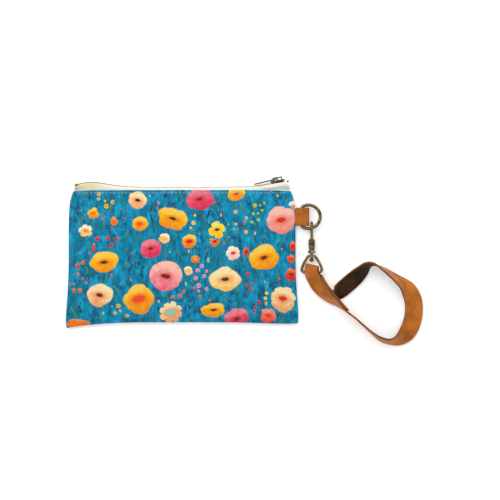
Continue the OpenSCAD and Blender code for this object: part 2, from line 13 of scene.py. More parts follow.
import bpy
import bmesh
import numpy as np
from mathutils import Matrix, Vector


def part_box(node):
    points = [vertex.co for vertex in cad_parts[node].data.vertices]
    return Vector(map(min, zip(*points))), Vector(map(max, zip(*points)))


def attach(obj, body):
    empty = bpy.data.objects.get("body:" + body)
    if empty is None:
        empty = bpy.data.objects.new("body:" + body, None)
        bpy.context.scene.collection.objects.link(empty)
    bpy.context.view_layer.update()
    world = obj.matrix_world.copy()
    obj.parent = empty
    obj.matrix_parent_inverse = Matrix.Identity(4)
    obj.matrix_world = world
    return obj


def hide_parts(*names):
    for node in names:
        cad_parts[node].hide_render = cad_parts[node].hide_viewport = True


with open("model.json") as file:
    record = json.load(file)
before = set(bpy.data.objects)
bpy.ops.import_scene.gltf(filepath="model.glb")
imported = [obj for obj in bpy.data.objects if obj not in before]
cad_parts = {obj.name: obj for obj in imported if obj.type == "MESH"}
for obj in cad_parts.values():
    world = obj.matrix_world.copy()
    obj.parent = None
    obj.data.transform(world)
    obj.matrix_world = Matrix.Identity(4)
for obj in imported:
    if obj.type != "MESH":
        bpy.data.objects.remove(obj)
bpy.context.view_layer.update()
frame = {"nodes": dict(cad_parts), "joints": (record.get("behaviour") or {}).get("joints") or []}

MM = 0.001
joint_places = {joint["name"]: joint.get("pos_m") for joint in frame["joints"]}

# %% [markdown]
# ## Small tools
#
# One function turns the hex colour that a designer writes into the linear numbers a shader needs.
# Another adds a node with its settings and its links, so a material reads as a short list.

# %% Colour and node helpers
def linear(hex_colour, strength=1.0):
    parts = [int(hex_colour[i:i + 2], 16) / 255 for i in (1, 3, 5)]
    return [strength * (c / 12.92 if c <= 0.04045 else ((c + 0.055) / 1.055) ** 2.4) for c in parts] + [1.0]


def add(tree, kind, inputs=None, **settings):
    made = tree.nodes.new(kind)
    for name, value in settings.items():
        setattr(made, name, value)
    for key, value in (inputs or {}).items():
        if isinstance(value, bpy.types.NodeSocket):
            tree.links.new(value, made.inputs[key])
        else:
            made.inputs[key].default_value = value
    return made


def new_material(name):
    material = bpy.data.materials.new(name)
    material.use_nodes = True
    material.node_tree.nodes.clear()
    return material, material.node_tree


def surface(tree, inputs):
    """One principled shader with these inputs, led to the material's output."""
    shader = add(tree, "ShaderNodeBsdfPrincipled", inputs)
    add(tree, "ShaderNodeOutputMaterial", {"Surface": shader.outputs[0]})


print("white is", linear("#FFFFFF"))

# %% [markdown]
# A maker of patterns needs four plain operations again and again: arithmetic, a blend of two
# colours, a ramp and a noise. They are all made by the one function above.

# %% Short forms of the one node function
def maths(tree, operation, a, b=0.0, c=0.0):
    return add(tree, "ShaderNodeMath", {0: a, 1: b, 2: c}, operation=operation).outputs[0]


def blend(tree, share, first, second):
    return add(tree, "ShaderNodeMix", {0: share, 6: first, 7: second}, data_type="RGBA").outputs[2]


def fade(tree, value, low, high, to_low=0.0, to_high=1.0):
    return add(tree, "ShaderNodeMapRange", {0: value, 1: low, 2: high, 3: to_low, 4: to_high},
               interpolation_type="SMOOTHSTEP").outputs[0]


def noise(tree, place, scale, detail=2.0, roughness=0.5):
    return add(tree, "ShaderNodeTexNoise", {"Vector": place, "Scale": scale, "Detail": detail,
                                            "Roughness": roughness}).outputs["Fac"]


def stretched(tree, place, scale):
    return add(tree, "ShaderNodeMapping", {"Vector": place, "Scale": scale}).outputs[0]


print("node helpers ready")

# %% [markdown]
# ## Mesh tools
#
# Cloth, tape and leather are all strips or sheets with a real thickness. A closed slab between
# two grids of points is the simplest honest form of them: it has an inside, an outside and an edge.

# %% Slabs from two grids of points
def mesh_object(name, points, faces, smooth=True):
    mesh = bpy.data.meshes.new(name)
    mesh.from_pydata((np.asarray(points, float) * MM).tolist(), [], [list(map(int, f)) for f in faces])
    mesh.validate()
    mesh.update()
    made = bpy.data.objects.new(name, mesh)
    bpy.context.scene.collection.objects.link(made)
    if smooth:
        mesh.polygons.foreach_set("use_smooth", [True] * len(mesh.polygons))
    return made


def face_outward(made):
    bm = bmesh.new()
    bm.from_mesh(made.data)
    bmesh.ops.recalc_face_normals(bm, faces=bm.faces)
    bm.to_mesh(made.data)
    bm.free()


def grid_faces(n, m, start, flip):
    i, j = np.meshgrid(np.arange(n - 1), np.arange(m - 1), indexing="ij")
    a = (start + i * m + j).ravel()
    quads = np.stack([a, a + m, a + m + 1, a + 1], axis=1)
    return quads[:, ::-1] if flip else quads


def slab(name, outer, inner):
    """A closed slab: outer and inner are grids of points, n by m by 3, in millimetres."""
    n, m = outer.shape[:2]
    rim = ([(i, 0) for i in range(n)] + [(n - 1, j) for j in range(1, m)]
           + [(i, m - 1) for i in range(n - 2, -1, -1)] + [(0, j) for j in range(m - 2, 0, -1)])
    ids = [i * m + j for i, j in rim]
    walls = [(a, a + n * m, b + n * m, b) for a, b in zip(ids, ids[1:] + ids[:1])]
    faces = np.concatenate([grid_faces(n, m, 0, False), grid_faces(n, m, n * m, True), np.array(walls)])
    return mesh_object(name, np.concatenate([outer.reshape(-1, 3), inner.reshape(-1, 3)]), faces)


def set_points_attribute(made, name, values):
    attribute = made.data.attributes.new(name, "FLOAT_VECTOR", "POINT")
    attribute.data.foreach_set("vector", np.asarray(values, np.float32).ravel())


def finish_piece(made, material, body, slot, *nodes):
    if material is not None:
        made.data.materials.append(material)
    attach(made, body)
    if nodes:
        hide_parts(*nodes)
    return made


print("slab tool ready")

# %% [markdown]
# ## The camera and the room
#
# The wristlet lies on a pale table and is seen from straight above. A long lens far away keeps
# the outline true, as a pack shot does. The light is a bright, even room with one large soft lamp.

# %% Camera, floor and light
VIEW_MM = 440
CAMERA_HEIGHT = 1.5
SUBJECT_HEIGHT_MM = 6
VIEW_CENTRE_MM = (59.84, 5.72)
camera_data = bpy.data.cameras.new("camera")
camera_data.lens = camera_data.sensor_width * (CAMERA_HEIGHT - SUBJECT_HEIGHT_MM * MM) / (VIEW_MM * MM)
camera_data.clip_end = 20
camera = bpy.data.objects.new("camera", camera_data)
camera.location = (VIEW_CENTRE_MM[0] * MM, VIEW_CENTRE_MM[1] * MM, CAMERA_HEIGHT)
bpy.context.scene.collection.objects.link(camera)
bpy.context.scene.camera = camera
bpy.context.scene.view_settings.view_transform = "Standard"

paper, tree = new_material("matt white paper")
surface(tree, {
    "Base Color": linear("#FCFCFC"), "Roughness": 0.95, "Specular IOR Level": 0.1,
    "Emission Color": linear("#FFFFFF"), "Emission Strength": 0.3})
floor = mesh_object("floor",
                    [(-3000, -3000, -0.1), (3000, -3000, -0.1), (3000, 3000, -0.1), (-3000, 3000, -0.1)],
                    [(0, 1, 2, 3)], smooth=False)
floor.data.materials.append(paper)

ROOM_LIGHT = 0.62
world = bpy.data.worlds.new("pale room")
world.use_nodes = True
world.node_tree.nodes["Background"].inputs[0].default_value = (1, 1, 1, 1)
world.node_tree.nodes["Background"].inputs[1].default_value = ROOM_LIGHT
bpy.context.scene.world = world


def soft_lamp(name, place, aim, size, power):
    data = bpy.data.lights.new(name, "AREA")
    data.size, data.energy = size, power
    lamp = bpy.data.objects.new(name, data)
    lamp.location = place
    lamp.rotation_euler = (Vector(aim) - Vector(place)).to_track_quat("-Z", "Y").to_euler()
    bpy.context.scene.collection.objects.link(lamp)


soft_lamp("key lamp", (-0.35, 0.55, 0.9), (0.06, 0, 0), 0.7, 5)
soft_lamp("fill lamp", (0.6, 0.75, 0.7), (0.06, 0, 0), 0.9, 2.6)
print("lens", round(camera_data.lens, 1), "mm")

# %% [markdown]
# ## The pouch's form
#
# A sewn pouch with little in it is a low pillow: flat where it lies, full in the middle, and
# pinched to a thin edge at the seams. Its corners hang a little beyond the seams, because they are
# turned right side out. The mouth has no seam, so it stays nearly as thick as the middle.
# The same functions give every layer, from the printed cotton down to the lining.

# %% Form functions over u, left to right, and v, bottom to mouth
POUCH_BOX = [np.array(corner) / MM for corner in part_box("outer_front_panel")]
HALF_W, HALF_H, MOUTH_Y = 100.0, 58.0, 58.3
FOOT_FLARE, MOUTH_TAPER = 4.4, 3.4
DROP_LEFT, DROP_RIGHT = 7.6, 3.6
SEAM_Z, TOP_Z, EDGE_RISE = 2.4, POUCH_BOX[1][2], 0.9
COTTON_MM, FLEECE_MM, LINING_MM = 0.55, 0.6, 0.25


def half_w(v):
    return HALF_W + np.where(v < 0, FOOT_FLARE * v ** 2, -MOUTH_TAPER * v ** 6)


def place_on_table(u, v):
    corner = np.abs(u * v) ** 8
    drop = (DROP_LEFT + (DROP_RIGHT - DROP_LEFT) * (u + 1) / 2) * u ** 4
    x = u * (half_w(v) - corner * np.where(v < 0, 2.6, 0.8))
    y = np.where(v < 0, v * (HALF_H + drop - corner * 2.6), v * (MOUTH_Y - corner * 0.8))
    return x, y


def bulge(t, sharp):
    return np.maximum(0, 1 - np.abs(t) ** sharp) ** 0.42


def front_z(u, v):
    full = bulge(u, np.where(v < 0, 3, 3 + 3 * v)) * np.where(v < 0, bulge(v, 3), 1 - 0.02 * v ** 2)
    return SEAM_Z + EDGE_RISE + (TOP_Z - SEAM_Z - EDGE_RISE) * full


def back_z(u, v):
    rise = np.maximum(np.clip((np.abs(u) - 0.9) / 0.1, 0, 1), np.clip((-v - 0.86) / 0.14, 0, 1)) ** 2
    return (SEAM_Z - COTTON_MM - 0.1) * rise + 0.62 * np.clip((v - 0.9) / 0.1, 0, 1) * (1 - u ** 8)


print("pouch box", POUCH_BOX[0].round(1), POUCH_BOX[1].round(1))

# %% [markdown]
# Real cloth is never quite smooth: the seams draw it up into short puckers that fade out within
# two centimetres, and the sewn mouth ripples a little between stitches. These are small moves of
# the surface, a few tenths of a millimetre, added to the form above.

# %% Puckers and slow waves
PUCKER_MM = 0.22


def ripple(x, y, seed):
    total = np.zeros_like(x)
    maker = random.Random(seed)
    for _ in range(7):
        turn, length, shift = maker.uniform(0, math.pi), maker.uniform(26, 70), maker.uniform(0, 6.28)
        total += np.sin((x * math.cos(turn) + y * math.sin(turn)) * 2 * math.pi / length + shift)
    return total / 7


def puckers(u, v, x, y, seed):
    side = np.exp(-(1 - np.abs(u)) * HALF_W / 9) * (np.sin(y / 2.1 + seed)
                                                    + 0.6 * np.sin(y / 3.7 + 2 * seed))
    foot = np.exp(-(v + 1) * HALF_H / 9) * (np.sin(x / 2.6 + seed) + 0.6 * np.sin(x / 4.3 + 2 * seed))
    mouth = np.exp(-(1 - v) * HALF_H / 4) * np.sin(x / 3.4 * math.pi) * 0.5
    free = np.minimum(1, (1 - np.abs(u)) * 30) * np.minimum(1, (v + 1) * 20)
    return free * (PUCKER_MM * side + PUCKER_MM * foot + 0.16 * mouth)


def seam_lines(count):
    """Places from -1 to 1 that crowd towards both ends, where the form curves most."""
    s = np.linspace(-1, 1, count)
    return s * (1.5 - 0.5 * s ** 2)


def pouch_layer(name, front, start, thick, inset, count_u, count_v, seed):
    su, sv = 1 - inset / HALF_W, 1 - inset / HALF_H
    u, v = np.meshgrid(seam_lines(count_u), seam_lines(count_v), indexing="ij")
    p, q = u * su, np.where(v < 0, v * sv, v)
    x, y = place_on_table(p, q)
    lie = (1 - np.abs(u) ** 6) * (1 - np.clip(-v, 0, 1) ** 6)
    move = puckers(p, q, x, y, seed) + (0.5 * ripple(x, y, seed) - 0.3) * lie
    z = front_z(p, q) + move if front else back_z(p, q) + 0.25 * np.maximum(0, move)
    way = -1 if front else 1
    outer = np.stack([x, y, z + way * start], axis=2)
    inner = np.stack([x, y, z + way * (start + thick)], axis=2)
    made = slab(name, outer, inner) if front else slab(name, outer[:, ::-1], inner[:, ::-1])
    flat = np.stack([x, y, 0 * x], axis=2)
    flat = flat if front else flat[:, ::-1]
    set_points_attribute(made, "flat", np.concatenate([flat.reshape(-1, 3)] * 2))
    return made


print("puckers up to", PUCKER_MM, "mm")

# %% [markdown]
# ## The print: a list of blooms, drawn by one shader
#
# A printed cotton has its pattern on a flat cloth before it is sewn, so the pattern is written in
# the cloth's own millimetres. Each bloom is one line: its place, half its width and height, how many
# petals, how deep the gaps between them, the size of its eye, and three colours (rim, heart, eye).
# Every face of the cloth then learns which bloom it belongs to and where it lies inside it. The
# shader draws petals from that place, so an outline stays sharp however near one looks.

# %% Blooms, in the cloth's millimetres
INK = {
    "peach": "#F3A062", "cream": "#FFE3A8", "gold": "#FFC600", "amber": "#F58A00", "lemon": "#FFE23C",
    "pink": "#F0607E", "hot": "#E01E4E", "crimson": "#C4123C", "coral": "#F8441E", "salmon": "#F58672",
    "blush": "#FDB7A8", "mint": "#8FD0B4", "brown": "#4A1E08", "black": "#1C1006", "red": "#DC1E10",
    "orange": "#F86A0A", "maroon": "#6E1018", "straw": "#F8BE50", "white": "#FFF0CE", "lilac": "#F09AB4",
    "leaf": "#0E7A62", "moss": "#3F8A44", "teal": "#04586A", "night": "#04395E", "lime": "#A8C034",
}
BLOOMS = [
    (48, 55, 8, 6, 3, .1, .2, "amber", "gold", "red"),
    (-77.7, 7.7, 1.3, 4, 1, 0, 0, "red", "coral", "red"),
    (57, 4, 3.2, 3.8, 3, .2, .25, "red", "coral", "maroon"),
    (-92, -8.3, 1.7, 2.3, 1, 0, 0, "red", "coral", "red"),
    (98.7, 44, 5.6, 5, 3, .15, .2, "blush", "white", "coral"),
    (97.6, 9, 3, 4.4, 2, .2, .2, "red", "coral", "maroon"),
    (96, -2, 3.2, 3.4, 3, .2, .3, "coral", "orange", "red"),
    (96, -16, 5, 5.6, 4, .2, .25, "red", "coral", "maroon"),
    (-91, -59.5, 10.5, 4.2, 4, .15, .1, "amber", "orange", "amber"),
    (48, -55, 10.6, 9, 3, .1, .2, "crimson", "pink", "maroon"),
    (76, -52, 6.8, 6.6, 5, .15, .22, "coral", "salmon", "red"),
    (-59.5, 31, 3.0, 4.0, 3, .25, .0, "orange", "amber", "red"),
    (5.5, -12.4, 4, 4, 5, .2, .3, "straw", "white", "gold"),
    (12, -2.5, 3.5, 3.4, 5, .2, .34, "orange", "amber", "gold"),
    (29, 13.3, 4.6, 4.4, 8, .5, .25, "orange", "amber", "maroon"),
    (-15.4, 16, 4.9, 4.6, 5, .15, .3, "straw", "white", "gold"),
    (-78, 38, 4.9, 4.8, 4, .3, .25, "amber", "gold", "orange"),
    (-84.6, 22.8, 5.9, 5.7, 5, .34, .26, "straw", "white", "amber"),
    (45, 3, 6.1, 5.8, 5, .2, .25, "blush", "white", "crimson"),
    (31, 23.6, 7.4, 7.2, 4, .4, .2, "gold", "lemon", "black"),
    (-37, 28.8, 6.8, 6.5, 3, .08, .28, "amber", "gold", "coral"),
    (6.5, 13.3, 6.3, 6, 7, .1, .36, "orange", "gold", "red"),
    (28, -47, 9.9, 6.4, 3, .14, .2, "amber", "gold", "black"),
    (-9.5, -49, 9.9, 9.4, 8, .28, .36, "peach", "cream", "mint"),
    (-7.7, 33.3, 13.7, 8.9, 3, .1, .18, "amber", "gold", "black"),
    (-38.9, 49.5, 7.9, 7.4, 3, .07, .22, "peach", "cream", "black"),
    (-27.5, 7, 8.8, 8.3, 3, .1, .18, "hot", "pink", "maroon"),
    (15.8, 50.5, 11.6, 10, 3, .08, .17, "hot", "pink", "maroon"),
    (-68.4, -5, 12.6, 9.4, 2, .06, .2, "amber", "gold", "brown"),
    (-72.5, -34, 11.8, 10.4, 2, .12, .2, "peach", "cream", "maroon"),
    (-38, -37.3, 13.4, 12.4, 4, .1, .34, "amber", "gold", "coral"),
    (38, -20, 13.4, 10.8, 2, .12, .2, "straw", "cream", "brown"),
    (72.3, -1, 13, 11, 3, .1, .2, "amber", "gold", "maroon"),
    (88.6, -37, 11, 11, 7, .14, .25, "peach", "cream", "red"),
    (87, 32, 12.8, 12.2, 4, .1, .24, "salmon", "blush", "red"),
    (-14.2, -17.3, 14.8, 13.8, 4, .08, .2, "pink", "blush", "maroon"),
]
CLUSTERS = [
    (-68, 50, 9, 6, 11, "gold", "brown"), (-54, -48, 6, 5, 7, "gold", "brown"),
    (75, -35, 3, 3, 4, "lemon", "amber"),
    (-6, -33, 8, 7, 14, "orange", "maroon"), (17, -19, 6, 12, 16, "lilac", "hot"),
    (67, 38, 6, 10, 12, "lime", "gold"),
    (-90, -18, 6, 14, 8, "orange", "red"), (60, -21, 3, 8, 7, "red", "maroon"),
    (8, 31, 7, 6, 8, "lemon", "orange"),
    (-66, 10, 9, 6, 3, "red", "crimson"), (62, -46, 8, 6, 7, "red", "maroon"),
    (52, 30, 8, 10, 8, "straw", "amber"),
]
print(len(BLOOMS), "blooms in", len(INK), "inks;", len(CLUSTERS), "clusters of buds")

# %% [markdown]
# The meadow behind the blooms is sown by a seeded draw: short strewn stems, two longer ones under
# each bloom, clusters of buds, and loose buds where there is room. They come first in the list, so
# the large blooms lie over them.

# %% Sow stems and buds
SPREAD, BUD_ROOM_MM = 1.12, 1
SHORT_STEMS, STEMS_A_BLOOM, LOOSE_BUDS = 260, 2, 110


def motif(x, y, wide, high, turn, petals, gap, eye, rim, heart, centre):
    return dict(x=x, y=y, wide=wide, high=high, turn=turn, form=(petals, gap, eye),
                inks=[linear(INK[name])[:3] for name in (rim, heart, centre)])


def sow(seed, mirrored):
    draw = random.Random(seed)
    side = -1 if mirrored else 1
    sown, taken = [], []

    def free(x, y, size):
        for bx, by, wide, high, *_rest in BLOOMS:
            across = (x - bx) / (SPREAD * wide + BUD_ROOM_MM + size)
            along = (y - by) / (SPREAD * high + BUD_ROOM_MM + size)
            if across ** 2 + along ** 2 <= 1:
                return False
        return all(math.hypot(x - tx, y - ty) > SPREAD * (size + other) + BUD_ROOM_MM
                   for tx, ty, other in taken)

    def bud(x, y, size, tall, petals, gap, eye, rim, heart, centre):
        if free(x, y, size):
            taken.append((x, y, size))
            buds.append(motif(side * x, y, size, size * tall, 0, petals, gap, eye, rim, heart, centre))

    for _ in range(SHORT_STEMS):
        x, y, slant = draw.uniform(-101, 101), draw.uniform(-64, 58), draw.uniform(-0.5, 0.5)
        ink = draw.choice(["leaf", "teal", "teal", "night", "night", "night", "moss"])
        sown.append(motif(x, y, draw.uniform(0.4, 0.9), draw.uniform(2, 6), slant, 1, 0, 0, ink, ink, ink))
    for x, y, wide, high, *_rest in BLOOMS:
        for _ in range(STEMS_A_BLOOM):
            length, lean = draw.uniform(8, 17), draw.uniform(-0.25, 0.25)
            sown.append(motif(side * (x + draw.uniform(-2, 2)), y - high - length * 0.7, 0.45, length,
                              lean, 1, 0, 0,
                              "teal", "leaf", "teal"))
    buds = []
    for x, y, wide, high, count, rim, eye in CLUSTERS:
        for _ in range(int(1.6 * count)):
            bud(x + draw.uniform(-wide, wide), y + draw.uniform(-high, high), draw.uniform(1.0, 2.0), 1.0,
                5, .25, .3, rim, rim, eye)
    for _ in range(LOOSE_BUDS):
        rim, eye = draw.choice([("gold", "orange"), ("lemon", "amber"), ("coral", "red"),
                                ("orange", "maroon"),
                                ("mint", "moss"), ("orange", "red"), ("blush", "hot"), ("red", "crimson")])
        bud(draw.uniform(-101, 101), draw.uniform(-62, 58), draw.uniform(0.5, 1.2), draw.uniform(0.8, 2.0),
            4, .15, .3, rim, rim, eye)
    sown += buds
    for x, y, wide, high, petals, gap, eye, rim, heart, centre in BLOOMS:
        sown.append(motif(side * x, y, wide, high, draw.uniform(-0.3, 0.3), petals, gap, eye, rim, heart,
                          centre))
    return sown


FAR_AWAY = 9.0
SEED_KINDS, SEED_STEP = 97, 0.61
OUTLINE_ROOM_MM = 0.9


def print_cloth(made, motifs):
    mesh = made.data
    flat = np.zeros(len(mesh.vertices) * 3, np.float32)
    mesh.attributes["flat"].data.foreach_get("vector", flat)
    flat = flat.reshape(-1, 3)
    corner_vertex = np.zeros(len(mesh.loops), np.int32)
    mesh.loops.foreach_get("vertex_index", corner_vertex)
    starts = np.zeros(len(mesh.polygons), np.int32)
    counts = np.zeros(len(mesh.polygons), np.int32)
    mesh.polygons.foreach_get("loop_start", starts)
    mesh.polygons.foreach_get("loop_total", counts)
    corner_face = np.repeat(np.arange(len(starts)), counts)
    at = flat[corner_vertex]
    middle = np.add.reduceat(at, starts, axis=0) / counts[:, None]
    owner = np.full(len(starts), -1)
    for number, one in enumerate(motifs):
        dx, dy = middle[:, 0] - one["x"], middle[:, 1] - one["y"]
        cos, sin = math.cos(one["turn"]), math.sin(one["turn"])
        across = (dx * cos + dy * sin) / (one["wide"] * SPREAD + OUTLINE_ROOM_MM)
        along = (-dx * sin + dy * cos) / (one["high"] * SPREAD + OUTLINE_ROOM_MM)
        owner[across ** 2 + along ** 2 < 1] = number
    whose = owner[corner_face]
    has = whose >= 0

    def of_motif(values, empty):
        table = np.array(list(values) + [empty], np.float32)
        return table[np.where(has, whose, len(table) - 1)]

    centre = of_motif([(m["x"], m["y"], m["wide"], m["high"]) for m in motifs], (0, 0, 1, 1))
    turn = of_motif([(m["turn"],) for m in motifs], (0,))[:, 0]
    dx, dy = at[:, 0] - centre[:, 0], at[:, 1] - centre[:, 1]
    place = np.stack([(dx * np.cos(turn) + dy * np.sin(turn)) / centre[:, 2],
                      (-dx * np.sin(turn) + dy * np.cos(turn)) / centre[:, 3],
                      (whose % SEED_KINDS) * SEED_STEP], axis=1)
    place[~has] = FAR_AWAY
    layers = {"motif place": place, "motif form": of_motif([m["form"] for m in motifs], (1, 0, 0))}
    for number, layer in enumerate(("motif rim", "motif heart", "motif eye")):
        layers[layer] = of_motif([m["inks"][number] for m in motifs], (0, 0, 0))
    for layer, values in layers.items():
        attribute = mesh.attributes.new(layer, "FLOAT_VECTOR", "CORNER")
        attribute.data.foreach_set("vector", np.ascontiguousarray(values, np.float32).ravel())
    print(made.name, "has", len(motifs), "motifs over", int((owner >= 0).sum()), "of", len(owner), "faces")


# %% [markdown]
# ## Printed cotton
#
# Plain-woven cotton with a reactive print: the colours sit in the threads, so the surface is matt
# with a faint sheen, and the weave shows as a fine grid. Real threads lie 0.3 mm apart. They are
# drawn 0.55 mm apart here, because anything finer would vanish at this size.

# %% Printed cotton material
THREAD_MM = 0.55


def attribute(tree, name):
    return add(tree, "ShaderNodeAttribute", attribute_name=name).outputs["Vector"]


def weave_height(tree, flat, pitch_mm):
    turned = stretched(tree, flat, (2 * math.pi / pitch_mm, 2 * math.pi / pitch_mm, 1))
    split = add(tree, "ShaderNodeSeparateXYZ", {0: turned})
    over = maths(tree, "SINE", split.outputs[0])
    under = maths(tree, "SINE", split.outputs[1])
    return maths(tree, "MULTIPLY", over, under)


def bump(tree, height, distance_mm, strength=1.0, after=None):
    inputs = {"Height": height, "Distance": distance_mm * MM, "Strength": strength}
    if after is not None:
        inputs["Normal"] = after
    return add(tree, "ShaderNodeBump", inputs).outputs[0]


def meadow(tree, flat):
    blots = noise(tree, stretched(tree, flat, (0.15, 0.10, 1)), 1.0, 7, 0.78)
    drips = noise(tree, stretched(tree, flat, (0.42, 0.09, 1)), 1.0, 4, 0.65)
    height = maths(tree, "ADD", maths(tree, "MULTIPLY", blots, 0.78), maths(tree, "MULTIPLY", drips, 0.22))
    ramp = add(tree, "ShaderNodeValToRGB", {0: height})
    stops = [(0.37, "#00355A"), (0.44, "#005E84"), (0.50, "#0082A8"), (0.56, "#00A0C6"), (0.64, "#22BEDC")]
    elements = ramp.color_ramp.elements
    while len(elements) < len(stops):
        elements.new(0.5)
    for element, (where, colour) in zip(elements, stops):
        element.position, element.color = where, linear(colour)
    patches = fade(tree, noise(tree, stretched(tree, flat, (0.05, 0.03, 1)), 1.0, 4, 0.65), 0.48, 0.62,
                   0.0, 0.65)
    lit = fade(tree, noise(tree, stretched(tree, flat, (0.035, 0.03, 1)), 1.3, 3, 0.6), 0.46, 0.60, 0, 0.55)
    bright = blend(tree, lit, ramp.outputs[0], linear("#009CD2"))
    green = blend(tree, patches, bright, linear("#00727C"))
    deep = fade(tree, noise(tree, stretched(tree, flat, (0.08, 0.05, 1)), 1.7, 5, 0.72), 0.50, 0.66, 0, 0.8)
    foot = fade(tree, add(tree, "ShaderNodeSeparateXYZ", {0: flat}).outputs[1], 30, -60, 0.55, 1.0)
    deep = blend(tree, maths(tree, "MULTIPLY", deep, foot), green, linear("#00415F"))
    fine = noise(tree, stretched(tree, flat, (1.1, 0.35, 1)), 1.0, 4, 0.65)
    shade = blend(tree, fade(tree, fine, 0.58, 0.70, 0, 0.4), deep, linear("#064A54"))
    return blend(tree, fade(tree, fine, 0.40, 0.30, 0, 0.35), shade, linear("#20B4D4"))


def printed_cotton(name):
    material, tree = new_material(name)

    def do(operation, *values):
        return maths(tree, operation, *values)

    flat = attribute(tree, "flat")
    ground = meadow(tree, flat)
    place = add(tree, "ShaderNodeSeparateXYZ", {0: attribute(tree, "motif place")})
    form = add(tree, "ShaderNodeSeparateXYZ", {0: attribute(tree, "motif form")})
    px, py, seed = place.outputs
    petals, gap, eye = form.outputs
    angle = do("ARCTAN2", py, px)
    radius = do("SQRT", do("ADD", do("MULTIPLY", px, px), do("MULTIPLY", py, py)))
    lobe = do("ABSOLUTE", do("COSINE", do("ADD", do("MULTIPLY", do("MULTIPLY", angle, petals), 0.5), seed)))
    hollow = do("POWER", do("SUBTRACT", 1.0, lobe), 2.4)
    outline = do("SUBTRACT", 1.02, do("MULTIPLY", hollow, gap))
    round_place = add(tree, "ShaderNodeCombineXYZ", {
        0: do("COSINE", angle), 1: do("SINE", angle), 2: seed}).outputs[0]
    uneven = do("MULTIPLY", do("SUBTRACT", noise(tree, round_place, 0.9, 1), 0.5), 0.5)
    wobble = do("MULTIPLY", do("SUBTRACT", noise(tree, flat, 0.3, 1), 0.5), 0.08)
    reach = do("DIVIDE", do("ADD", do("MULTIPLY_ADD", radius, uneven, radius), wobble), outline)
    brush_place = add(tree, "ShaderNodeCombineXYZ", {
        0: do("MULTIPLY", angle, 1.6), 1: do("MULTIPLY", radius, 1.1), 2: seed}).outputs[0]
    brush = do("SUBTRACT", noise(tree, brush_place, 2.0, 3, 0.6), 0.5)
    low = do("MULTIPLY_ADD", py, -0.45, do("MULTIPLY", reach, -0.1))
    dabs = do("SUBTRACT", noise(tree, flat, 0.22, 4, 0.6), 0.5)
    tone = do("MULTIPLY_ADD", brush, 0.25, do("MULTIPLY_ADD", dabs, 1.1, low))
    petal = blend(tree, fade(tree, tone, -0.3, 0.4), attribute(tree, "motif heart"),
                  attribute(tree, "motif rim"))
    light_rim = do("MULTIPLY", fade(tree, tone, -0.1, -0.5), 0.18)
    petal = blend(tree, light_rim, petal, linear("#FFF1C4"))
    creased = do("MULTIPLY", fade(tree, do("MULTIPLY", hollow, reach), 0.45, 0.85), 0.3)
    petal = blend(tree, creased, petal, attribute(tree, "motif rim"))
    eye_across = do("MULTIPLY", do("MULTIPLY", px, px), 0.6)
    eye_along = do("MULTIPLY", do("MULTIPLY", py, py), 1.7)
    eye_place = do("SQRT", do("ADD", eye_across, eye_along))
    eye_edge = do("SUBTRACT", do("MULTIPLY_ADD", brush, 0.3, eye_place), eye)
    throat = blend(tree, 0.45, attribute(tree, "motif rim"), linear("#E83A14"))
    petal = blend(tree, do("MULTIPLY", fade(tree, eye_edge, 0.42, 0.0), 0.7), petal, throat)
    in_eye = fade(tree, eye_edge, 0.05, -0.05)
    petal = blend(tree, in_eye, petal, attribute(tree, "motif eye"))
    speck = fade(tree, noise(tree, flat, 1.5, 1), 0.6, 0.68, 0, 0.4)
    petal = blend(tree, do("MULTIPLY", speck, in_eye), petal, linear("#E8A84A"))
    drawn = blend(tree, fade(tree, reach, 1.03, 0.95), ground, petal)
    weave = weave_height(tree, flat, THREAD_MM)
    # Painted highlight: the crests of the weave are drawn a little paler, towards a pale blue-white.
    weave_crest_highlight = blend(tree, do("MULTIPLY", fade(tree, weave, -1, 1), 0.03), drawn, linear("#D4E8EE"))
    surface(tree, {
        "Base Color": weave_crest_highlight, "Roughness": 0.85, "Specular IOR Level": 0.06, "Sheen Weight": 0.015,
        "Normal": bump(tree, weave, 0.04)})
    return material


cotton = printed_cotton("reactive-printed plain-woven cotton")
print("nodes in the print:", len(cotton.node_tree.nodes))

# %% [markdown]
# ## The printed front and back
#
# Each is one cut of cotton, joined at the sides and foot. The front is seen most, so its grid is
# finer than a millimetre. The back gets its own sowing and a mirrored layout, because a maker cuts
# it from another part of the cloth.

# %% Cut, print and place the outer cotton
CUT_ACROSS, CUT_UP = 300, 190
front = pouch_layer("printed-front", True, 0, COTTON_MM, 0, CUT_ACROSS, CUT_UP, 3)
back = pouch_layer("printed-back", False, 0, COTTON_MM, 0, CUT_ACROSS, CUT_UP, 8)
print_cloth(front, sow(5, False))
print_cloth(back, sow(11, True))
finish_piece(front, cotton, "pouch", "printed_cloth", "outer_front_panel")
finish_piece(back, cotton, "pouch", "printed_cloth", "outer_back_panel")

# %% [markdown]
# ## Fleece and lining
#
# Between the printed cotton and the lining lies a thin felted fleece that gives the pouch its body.
# The lining is a plain cream cotton. Both follow the same form, a little further in at each layer.

# %% Inner cloth materials and layers
def plain_cloth(name, colour, shade, pitch_mm, grain):
    material, tree = new_material(name)
    flat = attribute(tree, "flat")
    cloudy = noise(tree, flat, grain, 4, 0.7)
    weave = weave_height(tree, flat, pitch_mm)
    tint = blend(tree, cloudy, linear(colour), linear(shade))
    tint = blend(tree, fade(tree, weave, -1, 1, 0, 0.25), tint, linear(shade))
    surface(tree, {
        "Base Color": tint, "Roughness": 0.9, "Specular IOR Level": 0.2, "Sheen Weight": 0.1,
        "Normal": bump(tree, weave, 0.05)})
    return material


